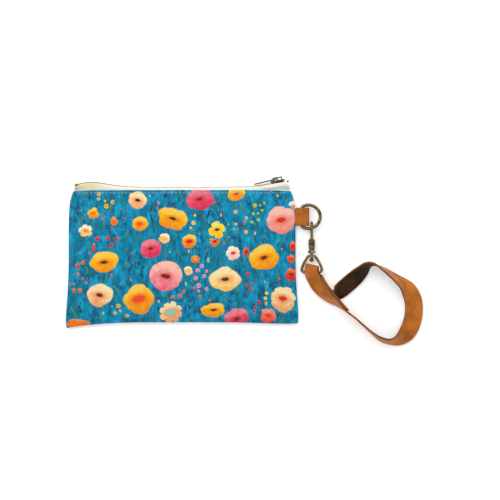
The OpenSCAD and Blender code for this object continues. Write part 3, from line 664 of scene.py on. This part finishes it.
fleece = plain_cloth("needle-felted polyester fleece", "#F4F1E8", "#D9D4C6", 1.7, 1.3)
lining = plain_cloth("plain-woven lining cotton", "#EADFC4", "#D2C39E", 0.5, 0.3)
FLEECE_START, LINING_START = 0.68, 2.23
for name, is_front, start, thick, inset, material, slot, node, under in (
        ("fleece-front", True, FLEECE_START, FLEECE_MM, 2, fleece, "fleece", "fleece_front",
         "lining-front"),
        ("fleece-back", False, FLEECE_START, FLEECE_MM, 2, fleece, "fleece", "fleece_back", "printed-back"),
        ("lining-front", True, LINING_START, LINING_MM, 7, lining, "lining_cloth", "lining_front",
         "lining-back"),
        ("lining-back", False, LINING_START, LINING_MM, 7, lining, "lining_cloth", "lining_back",
         "fleece-back")):
    layer = pouch_layer(name, is_front, start, thick, inset, 120, 80, 3 if is_front else 8)
    finish_piece(layer, material, "pouch", slot, node)
print("six layers of cloth")

# %% [markdown]
# ## The zip
#
# Two woven tapes stand up out of the mouth and meet under a chain of nylon coil. From above the zip
# is seen edge on: a cream strip that rises in a low hump at each end. The chain's height over the
# mouth is a short list of knots, smoothed so that no corner shows.

# %% The chain's line and the tapes' section
CHAIN_Z, TAPE_MM, COIL_W, COIL_H = 5.0, 0.4, 1.6, 1.25
TAPE_HALF = HALF_W - MOUTH_TAPER - 2
SLIDER_TILT, FLANGE_W = 9.5, 7.6
TAPE_DEPTH, TAPE_STEPS = 1.755, 300
SLIDER_X = HALF_W - MOUTH_TAPER - 12
SLIDER_RISE, NOSE = 6.0, 7.2
TILT_RISE = NOSE * math.tan(math.radians(SLIDER_TILT))
KNOTS = [(-TAPE_HALF, 2.2), (-TAPE_HALF + 4, 4.8), (-TAPE_HALF + 11, 6.2), (-TAPE_HALF + 20, 6.1),
         (-TAPE_HALF + 30, 4.4), (-TAPE_HALF + 42, 2.6), (-TAPE_HALF + 62, 2), (0, 1.9),
         (TAPE_HALF - 62, 2),
         (SLIDER_X - 26, 2.4), (SLIDER_X - 14, 3.7), (SLIDER_X - NOSE, SLIDER_RISE - TILT_RISE),
         (SLIDER_X + NOSE, SLIDER_RISE + TILT_RISE), (TAPE_HALF - 2, SLIDER_RISE + TILT_RISE - 0.7),
         (TAPE_HALF, SLIDER_RISE - 1)]
_knot_x, _knot_rise = np.array(KNOTS).T
FINE_STEPS, SMOOTHED = 1200, 20
_fine_x = np.linspace(-TAPE_HALF, TAPE_HALF, FINE_STEPS)
_fine_rise = np.interp(_fine_x, _knot_x, _knot_rise)
_window = np.hanning(2 * SMOOTHED + 1)
_window = _window / _window.sum()
_fine_rise = np.convolve(np.pad(_fine_rise, SMOOTHED, mode="reflect", reflect_type="odd"), _window,
                         mode="valid")


def ease(t):
    t = np.clip(t, 0, 1)
    return t * t * (3 - 2 * t)


def chain_y(x):
    return MOUTH_Y + np.interp(x, _fine_x, _fine_rise)


def split(x):
    return 0.12 + 1.2 * ease((x - SLIDER_X - 0.5) / 3)


def curve_through(points, steps):
    """Catmull-Rom curve through rows of numbers, with so many steps between two of them."""
    points = np.asarray(points, float)
    ahead = np.vstack([2 * points[0] - points[1], points, 2 * points[-1] - points[-2]])
    made = []
    for i in range(1, len(ahead) - 2):
        a, b, c, d = ahead[i - 1:i + 3]
        for t in np.arange(steps) / steps:
            made.append(0.5 * (2 * b + (c - a) * t + (2 * a - 5 * b + 4 * c - d) * t ** 2
                               + (3 * b - a - 3 * c + d) * t ** 3))
    return np.array(made + [points[-1]])


print("chain rises", round(float(_fine_rise.max()), 1), "mm at most over the mouth")

# %% [markdown]
# Each tape's section starts between fleece and lining, runs up past the mouth, bulges out round the
# slider's flanges where the slider stands, and turns in to the chain.

# %% Tapes
def tape_section(side, x):
    u = x / (HALF_W - MOUTH_TAPER)
    deep, turn, edge = MOUTH_Y - 7, MOUTH_Y * 0.9, MOUTH_Y - 0.5
    y, open_ = float(chain_y(x)), float(ease(1 - (abs(x - SLIDER_X) - 8) / 8))
    wide = FLANGE_W / 2 + TAPE_MM / 2 + 0.15

    def sewn(at):
        depth, v = TAPE_DEPTH, np.array(min(at, MOUTH_Y) / MOUTH_Y)
        uu = np.array(u)
        return float(front_z(uu, v) - depth) if side > 0 else float(back_z(uu, v) + depth)

    def mix(a, b):
        return a + (b - a) * open_

    return [(deep, sewn(deep)), (turn, sewn(turn)), (edge, sewn(edge)),
            (MOUTH_Y + 0.8, sewn(MOUTH_Y) + side * 0.2),
            (mix(y - 0.9, y - 2.6), CHAIN_Z + side * mix(2.6, wide + 0.15)),
            (mix(y - 0.3, y - 0.2), CHAIN_Z + side * mix(1.9, wide)),
            (y, CHAIN_Z + side * mix(1.5, wide - 0.6)), (y, CHAIN_Z + side * float(split(x)))]


def zip_tape(name, side):
    rows_in, rows_out, flat = [], [], []
    for x in np.linspace(-TAPE_HALF, TAPE_HALF, TAPE_STEPS):
        line = curve_through(tape_section(side, x), 4)
        way = np.gradient(line, axis=0)
        normal = np.stack([-way[:, 1], way[:, 0]], axis=1) / np.linalg.norm(way, axis=1)[:, None]
        ridge = side * TAPE_MM / 2 * normal
        for rows, shift in ((rows_out, ridge), (rows_in, -ridge)):
            rows.append(np.column_stack([np.full(len(line), x), line + shift]))
        run = np.concatenate([[0], np.cumsum(np.linalg.norm(np.diff(line, axis=0), axis=1))])
        flat.append(np.column_stack([np.full(len(line), x), run, 0 * run]))
    outer, inner = np.array(rows_out), np.array(rows_in)
    flat = np.array(flat)
    if side > 0:
        outer, inner, flat = outer[:, ::-1], inner[:, ::-1], flat[:, ::-1]
        outer, inner = outer[::-1], inner[::-1]
        flat = flat[::-1]
    made = slab(name, outer, inner)
    set_points_attribute(made, "flat", np.concatenate([flat.reshape(-1, 3)] * 2))
    face_outward(made)
    return made


def zip_tape_cloth():
    """Polyester twill: a herringbone of slanting ribs, about 1 mm from rib to rib."""
    material, tree = new_material("herringbone-woven polyester zip tape")
    flat = add(tree, "ShaderNodeSeparateXYZ", {0: attribute(tree, "flat")})
    stripe = maths(tree, "PINGPONG", flat.outputs[1], 1.6)
    rib = maths(tree, "SINE", maths(tree, "MULTIPLY", maths(
        tree, "ADD", flat.outputs[0], maths(tree, "MULTIPLY", stripe, 0.8)), 2 * math.pi / 0.9))
    cloudy = noise(tree, attribute(tree, "flat"), 0.4, 3, 0.6)
    tint = blend(tree, cloudy, linear("#FFFEFA"), linear("#FCF9EE"))
    # Painted shade: the tape's left end, where it rises in a hump by the side seam, is drawn a darker,
    # yellower cream.
    tint = blend(tree, fade(tree, flat.outputs[0], -84, -56), linear("#F3E7BE"), tint)
    tint = blend(tree, fade(tree, rib, 0.2, -1, 0, 0.25), tint, linear("#DCCFA8"))
    surface(tree, {
        "Base Color": tint, "Roughness": 0.75, "Specular IOR Level": 0.3, "Sheen Weight": 0.15,
        "Normal": bump(tree, rib, 0.08)})
    return material


tape_cloth = zip_tape_cloth()
for name, side, node in (("zip-tape-front", 1, "zipper_tape_front"),
                         ("zip-tape-back", -1, "zipper_tape_back")):
    tape = finish_piece(zip_tape(name, side), tape_cloth, "pouch", "zip_tape", node)
print("two tapes,", round(2 * TAPE_HALF), "mm long")

# %% [markdown]
# ## The coil
#
# A nylon coil zip has no separate teeth: each row is one thick thread wound into a flat spiral and
# sewn to its tape. The two spirals lie half a turn apart, so that their loops lock together behind
# the slider. Here each row is a curve that really winds, with a bevel for the thread.

# %% Wind the coils
def moulded_nylon():
    material, tree = new_material("heat-set nylon monofilament")
    place = add(tree, "ShaderNodeNewGeometry").outputs["Position"]
    cloudy = noise(tree, place, 260, 3)
    tint = blend(tree, cloudy, linear("#E6D199"), linear("#C9AC6C"))
    along = maths(tree, "DIVIDE", add(tree, "ShaderNodeSeparateXYZ", {0: place}).outputs[0], MM)
    # Painted shade: the coil is drawn a darker tan along its left part, up to about 40 mm left of the
    # middle; to the right it turns pale cream.
    tint = blend(tree, fade(tree, along, -80, -40), tint, linear("#F2EAD2"))
    surface(tree, {
        "Base Color": tint, "Roughness": 0.34, "IOR": 1.53, "Normal": bump(tree, cloudy, 0.03)})
    return material


def tube(name, points, radius_mm, sides=12, closed=False, taper=None):
    """A round bar through dense points, in millimetres, carried along without twisting."""
    points = np.asarray(points, float)
    n = len(points)
    ahead, behind = np.roll(points, -1, axis=0), np.roll(points, 1, axis=0)
    if not closed:
        ahead[-1], behind[0] = points[-1], points[0]
    along = ahead - behind
    along /= np.linalg.norm(along, axis=1)[:, None]
    normal = np.cross(along[0], [0, 0, 1.0] if abs(along[0][2]) < 0.9 else [1.0, 0, 0])
    around = np.linspace(0, 2 * math.pi, sides, endpoint=False)
    rings = []
    for i in range(n):
        normal = normal - along[i] * normal.dot(along[i])
        normal /= np.linalg.norm(normal)
        side = np.cross(along[i], normal)
        r = radius_mm * (1 if taper is None else taper[i])
        rings.append(points[i] + r * (np.cos(around)[:, None] * normal + np.sin(around)[:, None] * side))
    faces = []
    for i in range(n if closed else n - 1):
        j = (i + 1) % n
        faces += [(i * sides + k, i * sides + (k + 1) % sides, j * sides + (k + 1) % sides, j * sides + k)
                  for k in range(sides)]
    if not closed:
        faces += [tuple(range(sides))[::-1], tuple(range((n - 1) * sides, n * sides))]
    return mesh_object(name, np.concatenate(rings), faces)


LOOP_PITCH_MM, THREAD_RADIUS_MM, STEPS_A_TURN = 1.5, 0.3, 10
LOOP_REACH = 0.34


def coil_row(name, side):
    first, last = -TAPE_HALF + 0.8, TAPE_HALF - 2.7
    turns = int((last - first) / LOOP_PITCH_MM)
    s = np.arange(turns * STEPS_A_TURN) / STEPS_A_TURN
    turn = 2 * math.pi * (s + (0 if side > 0 else 0.5))
    x = first + (s + 0.06 * np.sin(2 * turn)) * LOOP_PITCH_MM
    apart = split(x)
    inner = apart - (0.12 + LOOP_REACH) * (apart < 0.3)
    outer = split(x) + COIL_W - THREAD_RADIUS_MM
    mid, half = (inner + outer) / 2, (outer - inner) / 2
    y = chain_y(x) + TAPE_MM / 2 + 0.05 + COIL_H / 2 - (COIL_H / 2 - THREAD_RADIUS_MM) * np.cos(turn)
    z = CHAIN_Z + side * (mid + half * np.sin(turn))
    return tube(name, np.column_stack([x, y, z]), THREAD_RADIUS_MM, sides=6)


nylon = moulded_nylon()
for name, side, node in (("coil-front", 1, "zipper_coil_front"), ("coil-back", -1, "zipper_coil_back")):
    finish_piece(coil_row(name, side), nylon, "pouch", "coil_nylon", node)
print("loops in a row:", int(2 * TAPE_HALF / LOOP_PITCH_MM))

# %% [markdown]
# ## Antique brass
#
# The slider, ring, clasp and eye are zinc castings, plated with brass and then darkened; the high
# places are rubbed back to bright metal. So the colour is a metal's, with a brown patina that a
# noise lays thicker in some places, painted shade that darkens it where the surface turns away
# from the camera, and a fine scratchy roughness.

# %% Antique brass and spring steel
def antique_brass(name, bright, dark, patina):
    material, tree = new_material(name)
    place = add(tree, "ShaderNodeNewGeometry").outputs["Position"]
    cloudy = noise(tree, place, 420, 4, 0.65)
    scratch = noise(tree, stretched(tree, place, (1, 1, 6)), 1500, 3, 0.7)
    # Painted shade: Layer Weight darkens the colour where the surface turns away from the camera; it is
    # added to the noise-laid patina, and both pull the colour towards the dark brass.
    grazing_shade = add(tree, "ShaderNodeLayerWeight", {0: 0.35}).outputs["Facing"]
    thick = maths(tree, "ADD", fade(tree, cloudy, 0.42, 0.64, 0, patina),
                  maths(tree, "MULTIPLY", grazing_shade, 0.35))
    tint = blend(tree, thick, linear(bright), linear(dark))
    tint = blend(tree, fade(tree, scratch, 0.6, 0.8, 0, 0.3), tint, linear("#E2C48E"))
    rough = fade(tree, scratch, 0.3, 0.75, 0.26, 0.48)
    surface(tree, {
        "Base Color": tint, "Metallic": 1.0, "Roughness": rough,
        "Normal": bump(tree, scratch, 0.02, 0.6)})
    return material


brass = antique_brass("antiqued and relieved brass plate", "#94805C", "#352C1F", 0.85)
dark_brass = antique_brass("heavily antiqued brass plate", "#64543A", "#221B13", 0.92)
steel, tree = new_material("cold-rolled spring steel")
place = add(tree, "ShaderNodeNewGeometry").outputs["Position"]
drawn = noise(tree, stretched(tree, place, (900, 60, 900)), 1.0, 3)
surface(tree, {
    "Base Color": blend(tree, drawn, linear("#B9B9B6"), linear("#8E8E8C")), "Metallic": 1.0,
    "Roughness": 0.32, "Normal": bump(tree, drawn, 0.01)})
print("three metals")

# %% [markdown]
# Where the moving frame already has a casting's right shape, it stays and gets its finish and
# softly broken edges: a bevel of a tenth or two of a millimetre, as tumbling gives.

# %% Dress the castings that stay
def dress(node, material, edge_mm, segments=2):
    made = frame["nodes"][node]
    made.data.materials.clear()
    made.data.materials.append(material)
    bevel = made.modifiers.new("tumbled edges", "BEVEL")
    bevel.width, bevel.segments, bevel.limit_method = edge_mm * MM, segments, "ANGLE"
    bevel.angle_limit = math.radians(35)
    bevel.harden_normals = True


for node, material, edge_mm in (("slider_body", dark_brass, 0.22), ("pull_tab", dark_brass, 0.18),
                                ("bottom_stop", brass, 0.12), ("top_stop_front", brass, 0.12),
                                ("top_stop_back", brass, 0.12), ("clasp_hook", brass, 0.2),
                                ("clasp_gate", brass, 0.2), ("gate_pin", brass, 0.1),
                                ("swivel_rivet", brass, 0.1), ("gate_spring", steel, 0.05)):
    dress(node, material, edge_mm)
print("dressed castings")

# %% [markdown]
# ## Ring and eye
#
# Both are bent from round wire. A bar that follows a dense, rounded line shows that better than
# the plain frame pieces, so it stands for them.

# %% D-ring and swivel eye
joint_mm = {name: np.array(at) / MM for name, at in joint_places.items() if at}
BAR, RING = joint_mm["ring_swing"], joint_mm["hook_travel"]
RING_R, RING_WIRE, RING_CORNER = 10.4, 3.0, 2.6
flat_x = BAR[0] - RING[0]
corner_x = flat_x + RING_CORNER
corner_y = math.sqrt((RING_R - RING_CORNER) ** 2 - corner_x ** 2)
corner_turn = math.degrees(math.atan2(corner_y, corner_x))


def arc(x, y, r, start, end, steps):
    turns = np.radians(np.linspace(start, end, steps, endpoint=False))
    return [(x + r * math.cos(a), y + r * math.sin(a), 0) for a in turns]


ring_line = np.array(arc(0, 0, RING_R, -corner_turn, corner_turn, 90)
                     + arc(corner_x, corner_y, RING_CORNER, corner_turn, 180, 14)
                     + [(flat_x, y, 0) for y in np.linspace(corner_y, -corner_y, 12, endpoint=False)]
                     + arc(corner_x, -corner_y, RING_CORNER, 180, 360 - corner_turn, 14)) + RING
ring = finish_piece(tube("d-ring", ring_line, RING_WIRE / 2, sides=28, closed=True), brass, "ring",
                    "antique_brass", "d_ring")

EYE, EYE_BAR = joint_mm["eye_swivel"], joint_mm["strap_swing"]
EYE_WIRE, EYE_HALF, EYE_TURN = 2.4, 9.0, 12
drop = EYE[1] - EYE_BAR[1]
half_path = [(1.4, 0), (3, -0.6), (4.4, -2.4), (6.6, -5.8), (EYE_HALF - 0.5, -10), (EYE_HALF, -12.2),
             (EYE_HALF - 0.4, -13.4), (EYE_HALF - 1.3, -drop + 0.2), (EYE_HALF - 2.4, -drop)]
eye_line = curve_through([(x, y, 0) for x, y in half_path] + [(0, -drop, 0)]
                         + [(-x, y, 0) for x, y in half_path[::-1]], 7)
lean = math.radians(EYE_TURN)
eye_line = np.column_stack([eye_line[:, 0] * math.cos(lean), eye_line[:, 1],
                            eye_line[:, 0] * math.sin(lean)]) + EYE
eye_bow = tube("swivel-eye-bow", eye_line, EYE_WIRE / 2, sides=24)


def turned(name, profile, centre, steps=40):
    """A lathe-turned piece about the Y axis: profile is rows of (place along the axis, radius)."""
    around = np.linspace(0, 2 * math.pi, steps, endpoint=False)
    points = [(centre[0] + r * math.cos(a), y, centre[2] + r * math.sin(a)) for y, r in profile
              for a in around]
    rows = len(profile)

    def quad(low, high, k):
        return (low + k, high + k, high + (k + 1) % steps, low + (k + 1) % steps)

    faces = [quad(i * steps, (i + 1) * steps, k) for i in range(rows - 1) for k in range(steps)]
    faces += [quad((rows - 1) * steps, 0, k) for k in range(steps)]
    made = mesh_object(name, points, faces)
    face_outward(made)
    return made


collar_profile = [(-1.2, 1.2), (-1.2, 1.95), (-1.0, 2.2), (-0.55, 2.3), (-0.4, 2.12), (0.4, 2.12),
                  (0.55, 2.3), (1.0, 2.2),
                  (1.2, 1.95), (1.2, 1.2)]
collar = turned("swivel-eye-collar", [(EYE[1] + y, r) for y, r in collar_profile], EYE)
finish_piece(eye_bow, brass, "eye", "antique_brass", "swivel_eye")
finish_piece(collar, brass, "eye", "antique_brass")
print("ring at", RING.round(1), "eye bar at", EYE_BAR.round(1))

# %% [markdown]
# ## Leather
#
# Tab and strap are cut from one vegetable-tanned hide, waxed on the grain and left raw on the flesh
# side. One strip of leather so has three faces: a smooth tan grain with small pores, a darker,
# fibrous flesh side, and a cut edge. Grain pebbles of real calf are near 0.4 mm; they are drawn at
# 0.7 mm here, to show.

# %% Leather materials
def hide(name, light, dark, pebble_mm, rough, fibre=False):
    material, tree = new_material(name)
    flat = attribute(tree, "flat")
    cloudy = noise(tree, flat, 0.09, 5, 0.62)
    fine = noise(tree, stretched(tree, flat, (1, 0.35, 1) if fibre else (1, 1, 1)), 1.6, 5, 0.7)
    cells = add(tree, "ShaderNodeTexVoronoi", {"Vector": flat, "Scale": 1 / pebble_mm},
                feature="F1").outputs["Distance"]
    tint = blend(tree, fade(tree, cloudy, 0.3, 0.7), linear(light), linear(dark))
    tint = blend(tree, fade(tree, fine, 0.5, 0.75, 0, 0.55), tint, linear(dark, 0.6))
    tint = blend(tree, fade(tree, cells, 0.35, 0.62, 0, 0.22), tint, linear(dark, 0.5))
    height = maths(tree, "SUBTRACT", fine, cells)
    surface(tree, {
        "Base Color": tint, "Roughness": fade(tree, fine, 0.3, 0.7, rough, rough + 0.14),
        "Specular IOR Level": 0.2 if fibre else 0.35, "Sheen Weight": 0.1 if fibre else 0.0,
        "Normal": bump(tree, height, 0.12 if fibre else 0.06)})
    return material


grain = hide("waxed grain of vegetable-tanned leather", "#D27812", "#A05606", 0.7, 0.5)
flesh = hide("raw flesh side of leather", "#4C3018", "#291709", 1.1, 0.86, fibre=True)
cut_edge = hide("cut edge of leather", "#A3622B", "#6E3D17", 0.5, 0.7, fibre=True)


ROUNDED_MM, CUT_LIFT_MM, ACROSS = 0.42, 0.12, 15


def leather_strip(name, stations, thick_mm, steps):
    """One strip along stations of (place, way of the width, width). Its grain faces along x way."""
    rows = curve_through([list(p) + list(w) + [b] for p, w, b in stations], steps)
    places, ways, widths = rows[:, :3], rows[:, 3:6], rows[:, 6]
    along = np.gradient(places, axis=0)
    along /= np.linalg.norm(along, axis=1)[:, None]
    ways = ways - along * (ways * along).sum(axis=1)[:, None]
    ways /= np.linalg.norm(ways, axis=1)[:, None]
    up = np.cross(along, ways)
    run = np.concatenate([[0], np.cumsum(np.linalg.norm(np.diff(places, axis=0), axis=1))])
    t, r, c = thick_mm / 2, ROUNDED_MM, CUT_LIFT_MM
    edge = [(-c, t - c), (0, t - r), (0, r - t), (-c, c - t)]
    section = [(s, -r, t, "grain") for s in np.linspace(-1, 1, ACROSS)]
    section += [(1, inset, lift, "cut") for inset, lift in edge]
    section += [(s, -r, -t, "flesh") for s in np.linspace(1, -1, ACROSS)]
    section += [(-1, inset, lift, "cut") for inset, lift in edge[::-1]]
    m = len(section)
    points, flat = [], []
    for i in range(len(places)):
        for s, inset, lift, _kind in section:
            a = s * (widths[i] / 2 + inset)
            points.append(places[i] + ways[i] * a + up[i] * lift)
            flat.append((a, run[i], lift * 3))
    faces, kinds = [], []
    for i in range(len(places) - 1):
        for k in range(m):
            l = (k + 1) % m
            faces.append((i * m + k, (i + 1) * m + k, (i + 1) * m + l, i * m + l))
            both = {section[k][3], section[l][3]}
            kinds.append(0 if both == {"grain"} else 1 if both == {"flesh"} else 2)
    last = (len(places) - 1) * m
    faces += [tuple(range(m)), tuple(range(last + m - 1, last - 1, -1))]
    kinds += [2, 2]
    made = mesh_object(name, points, faces)
    face_outward(made)
    set_points_attribute(made, "flat", flat)
    for material in (grain, flesh, cut_edge):
        made.data.materials.append(material)
    made.data.polygons.foreach_set("material_index", kinds)
    return made, float(run[-1])


print("three faces of one hide")

# %% [markdown]
# ## The side tab
#
# A short strip folds round the ring's straight bar, and both ends are caught in the side seam.

# %% Fold the tab round the bar
TAB_W, TAB_T = 16.0, 1.4
tab_box = [np.array(c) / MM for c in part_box("side_tab")]
tab_left, tab_right = tab_box[0][0], tab_box[1][0]
fold_r = RING_WIRE / 2 + 0.3 + TAB_T / 2
fold_x, fold_z = tab_right - fold_r - TAB_T / 2, BAR[2]
upper = [(tab_left, SEAM_Z + 0.8), (tab_left + 1.4, SEAM_Z + 2.2), (tab_left + 3.0, fold_z + fold_r - 0.9),
         (tab_left + 4.6, fold_z + fold_r - 0.05), (fold_x - 1.5, fold_z + fold_r)]
bend = [(fold_x + fold_r * math.sin(a), fold_z + fold_r * math.cos(a))
        for a in np.linspace(0.25, math.pi - 0.25, 6)]
lower = [(fold_x - 1.5, fold_z - fold_r), (tab_left + 4.0, fold_z - fold_r + 0.15),
         (tab_left + 1.6, SEAM_Z - 0.65), (tab_left, SEAM_Z - 0.75)]
tab_stations = [((x, BAR[1], z), (0, 1, 0), TAB_W) for x, z in upper + bend + lower]
tab, tab_run = leather_strip("side-tab", tab_stations, TAB_T, 8)
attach(tab, "pouch")
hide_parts("side_tab")
print("tab strip", round(tab_run, 1), "mm long")

# %% [markdown]
# ## The wrist strap
#
# One strip, 16 mm wide. Its upper end passes through the eye and folds back under itself for a few
# centimetres, then it runs out on edge, lies over flat on the right, turns up on edge again, and
# bends over at the top, so that its dark flesh side comes up as it runs back to the neck.
# Each station says where the middle of the strip is and which way its width points.

# %% Stations of the strap and its mesh
STRAP_W, NECK_W, STRAP_T = 16.0, 11.5, 1.6
PAIR = STRAP_T + 0.2
BAR_PASS = EYE_WIRE / 2 + 0.5 + STRAP_T / 2
METAL_Z = EYE_BAR[2]
NECK = [((0.3, 3.4, METAL_Z + 0.15), (0.95, -0.2, 0.21), BAR_PASS, 0),
        ((0.1, -1.8, METAL_Z + 0.15), (0.95, -0.16, 0.22), BAR_PASS, 0),
        ((2.4, -5.8, 7.6), (0.84, -0.02, 0.46), 1.5, 0.3),
        ((6.2, -12.4, 9.2), (0.68, 0.2, 0.68), PAIR / 2, 0.8),
        ((11.4, -18, 9.6), (0.5, 0.34, 0.8), PAIR / 2, 1),
        ((17.6, -23.4, 9), (0.3, 0.34, 0.93), PAIR / 2, 1),
        ((24.4, -28.4, 8.6), (0.1, 0.13, 0.98), PAIR / 2, 1), ((31.2, -34, 8.4), (0, 0, 1), PAIR / 2, 1)]
LOOP = [((38, -40.2, 8.2), (0, 0, 1)), ((46, -47.4, 8.2), (0, 0.02, 1)),
        ((54, -54.2, 8.2), (0.02, 0.08, 1)),
        ((61, -59, 8.2), (0.06, 0.2, 0.97)), ((68.5, -61, 8.1), (-0.02, 0.3, 0.95)),
        ((76.5, -59, 6.9), (-0.42, 0.5, 0.75)), ((84.2, -52.8, 4.2), (-0.84, 0.42, 0.33)),
        ((88.4, -44.5, 2.7), (-0.97, 0.15, 0.16)), ((90.2, -35, 2.4), (-0.99, 0, 0.13)),
        ((89.6, -25.6, 3.1), (-0.96, -0.18, 0.2)), ((86, -17, 4.9), (-0.78, -0.42, 0.44)),
        ((79.6, -9.8, 7.2), (-0.42, -0.38, 0.8)), ((71, -3, 8.1), (-0.2, -0.28, 0.93)),
        ((62, 3.2, 8.4), (-0.08, -0.14, 0.98)), ((54.4, 6.8, 8.5), (-0.06, 0.12, 0.98)),
        ((48.6, 5.6, 8.2), (-0.26, 0.36, 0.89)), ((43.6, 0.4, 7), (-0.48, 0.55, 0.68)),
        ((38, -5.2, 5.6), (-0.6, 0.64, 0.48)), ((31, -11.4, 5.1), (-0.62, 0.65, 0.43)),
        ((24.5, -16.8, 5.1), (-0.56, 0.62, 0.52)), ((19.4, -19.6, 6), (-0.2, 0.6, 0.77)),
        ((14.6, -18.4, 6.8), (0.2, 0.42, 0.85))]
START = np.array([EYE_BAR[0], EYE_BAR[1], 0])
neck_places = np.array([START + p for p, *_ in NECK])
neck_along = np.array([neck_places[min(i + 1, 7)] - neck_places[max(i - 1, 0)] for i in range(8)])
neck_along /= np.linalg.norm(neck_along, axis=1)[:, None]
neck_up = np.cross(neck_along, np.array([w for _, w, *_ in NECK]))
neck_up /= np.linalg.norm(neck_up, axis=1)[:, None]
neck_width = [NECK_W + (STRAP_W - NECK_W) * share for *_, share in NECK]


def neck_station(i, lift):
    return (neck_places[i] + neck_up[i] * lift, NECK[i][1], neck_width[i])


def fold_station(degrees):
    a = math.radians(degrees)
    return (neck_places[0] - BAR_PASS * (neck_up[0] * math.cos(a) + neck_along[0] * math.sin(a)),
            NECK[0][1], NECK_W)


strap_stations = ([neck_station(i, -NECK[i][2]) for i in range(7, -1, -1)]
                  + [fold_station(a) for a in (30, 60, 90, 120, 150)]
                  + [neck_station(i, NECK[i][2]) for i in range(8)]
                  + [(START + p, w, STRAP_W) for p, w in LOOP]
                  + [neck_station(i, -NECK[i][2] - PAIR) for i in (3, 2)])
strap, strap_run = leather_strip("wrist-strap", strap_stations, STRAP_T, 8)
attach(strap, "strap")
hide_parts("wrist_strap")
print("strap strip", round(strap_run), "mm long")

# %% [markdown]
# ## Topstitching
#
# A row of lockstitches holds the turned edge of the mouth. Each stitch is a short thread that dips
# into the cloth at both ends, so it is made as a small bent spindle, not as a printed dash.

# %% Sew the mouth
def spun_thread():
    material, tree = new_material("spun polyester sewing thread")
    place = add(tree, "ShaderNodeNewGeometry").outputs["Position"]
    twist = noise(tree, stretched(tree, place, (5000, 1500, 1500)), 1.0, 1)
    surface(tree, {
        "Base Color": blend(tree, twist, linear("#A9CBD4"), linear("#7FB0BE")), "Roughness": 0.75,
        "Sheen Weight": 0.2, "Normal": bump(tree, twist, 0.03)})
    return material


thread = spun_thread()
STITCH_PITCH, STITCH_L, STITCH_IN, STITCH_R = 3.4, 2.5, 2.5, 0.26
STITCH_HALF = HALF_W - MOUTH_TAPER - 5
STEPS, SIDES = 9, 8


def surface_height(is_front, x, seed):
    v = np.array(1 - STITCH_IN / MOUTH_Y)
    u = np.array(x / (HALF_W - MOUTH_TAPER))
    y = np.array(MOUTH_Y - STITCH_IN)
    lie = 1 - np.abs(u) ** 6
    move = puckers(u, v, np.array(x), y, seed) + (0.5 * ripple(np.array(x), y, seed) - 0.3) * lie
    return float(front_z(u, v) + move) if is_front else float(back_z(u, v) + 0.25 * max(0, float(move)))


def topstitch(name, is_front, seed):
    points, faces = [], []
    count = int(2 * STITCH_HALF / STITCH_PITCH)
    up = 1 if is_front else -1
    for i in range(count + 1):
        middle = (i - count / 2) * STITCH_PITCH
        for k in range(STEPS):
            t = -1 + 2 * k / (STEPS - 1)
            x = middle + t * STITCH_L / 2
            r = STITCH_R * (0.35 + 0.65 * math.sqrt(max(0, 1 - t ** 4)))
            z = surface_height(is_front, x, seed) + up * (0.10 - 0.22 * t ** 4)
            for a in np.linspace(0, 2 * math.pi, SIDES, endpoint=False):
                points.append((x, MOUTH_Y - STITCH_IN + 0.12 * t + r * math.cos(a),
                               max(0.02, z + r * 0.8 * math.sin(a))))
        base = i * STEPS * SIDES
        for k in range(STEPS - 1):
            for j in range(SIDES):
                l = (j + 1) % SIDES
                low, high = base + k * SIDES, base + (k + 1) * SIDES
                faces.append((low + j, high + j, high + l, low + l))
        faces += [tuple(base + j for j in range(SIDES)),
                  tuple(base + (STEPS - 1) * SIDES + j for j in range(SIDES - 1, -1, -1))]
    made = mesh_object(name, points, faces)
    face_outward(made)
    return made


for name, is_front, seed, node in (("topstitch-front", True, 3, "topstitch_front"),
                                   ("topstitch-back", False, 8, "topstitch_back")):
    finish_piece(topstitch(name, is_front, seed), thread, "pouch", "sewing_thread", node)
print("stitches in a row:", int(2 * STITCH_HALF / STITCH_PITCH) + 1)
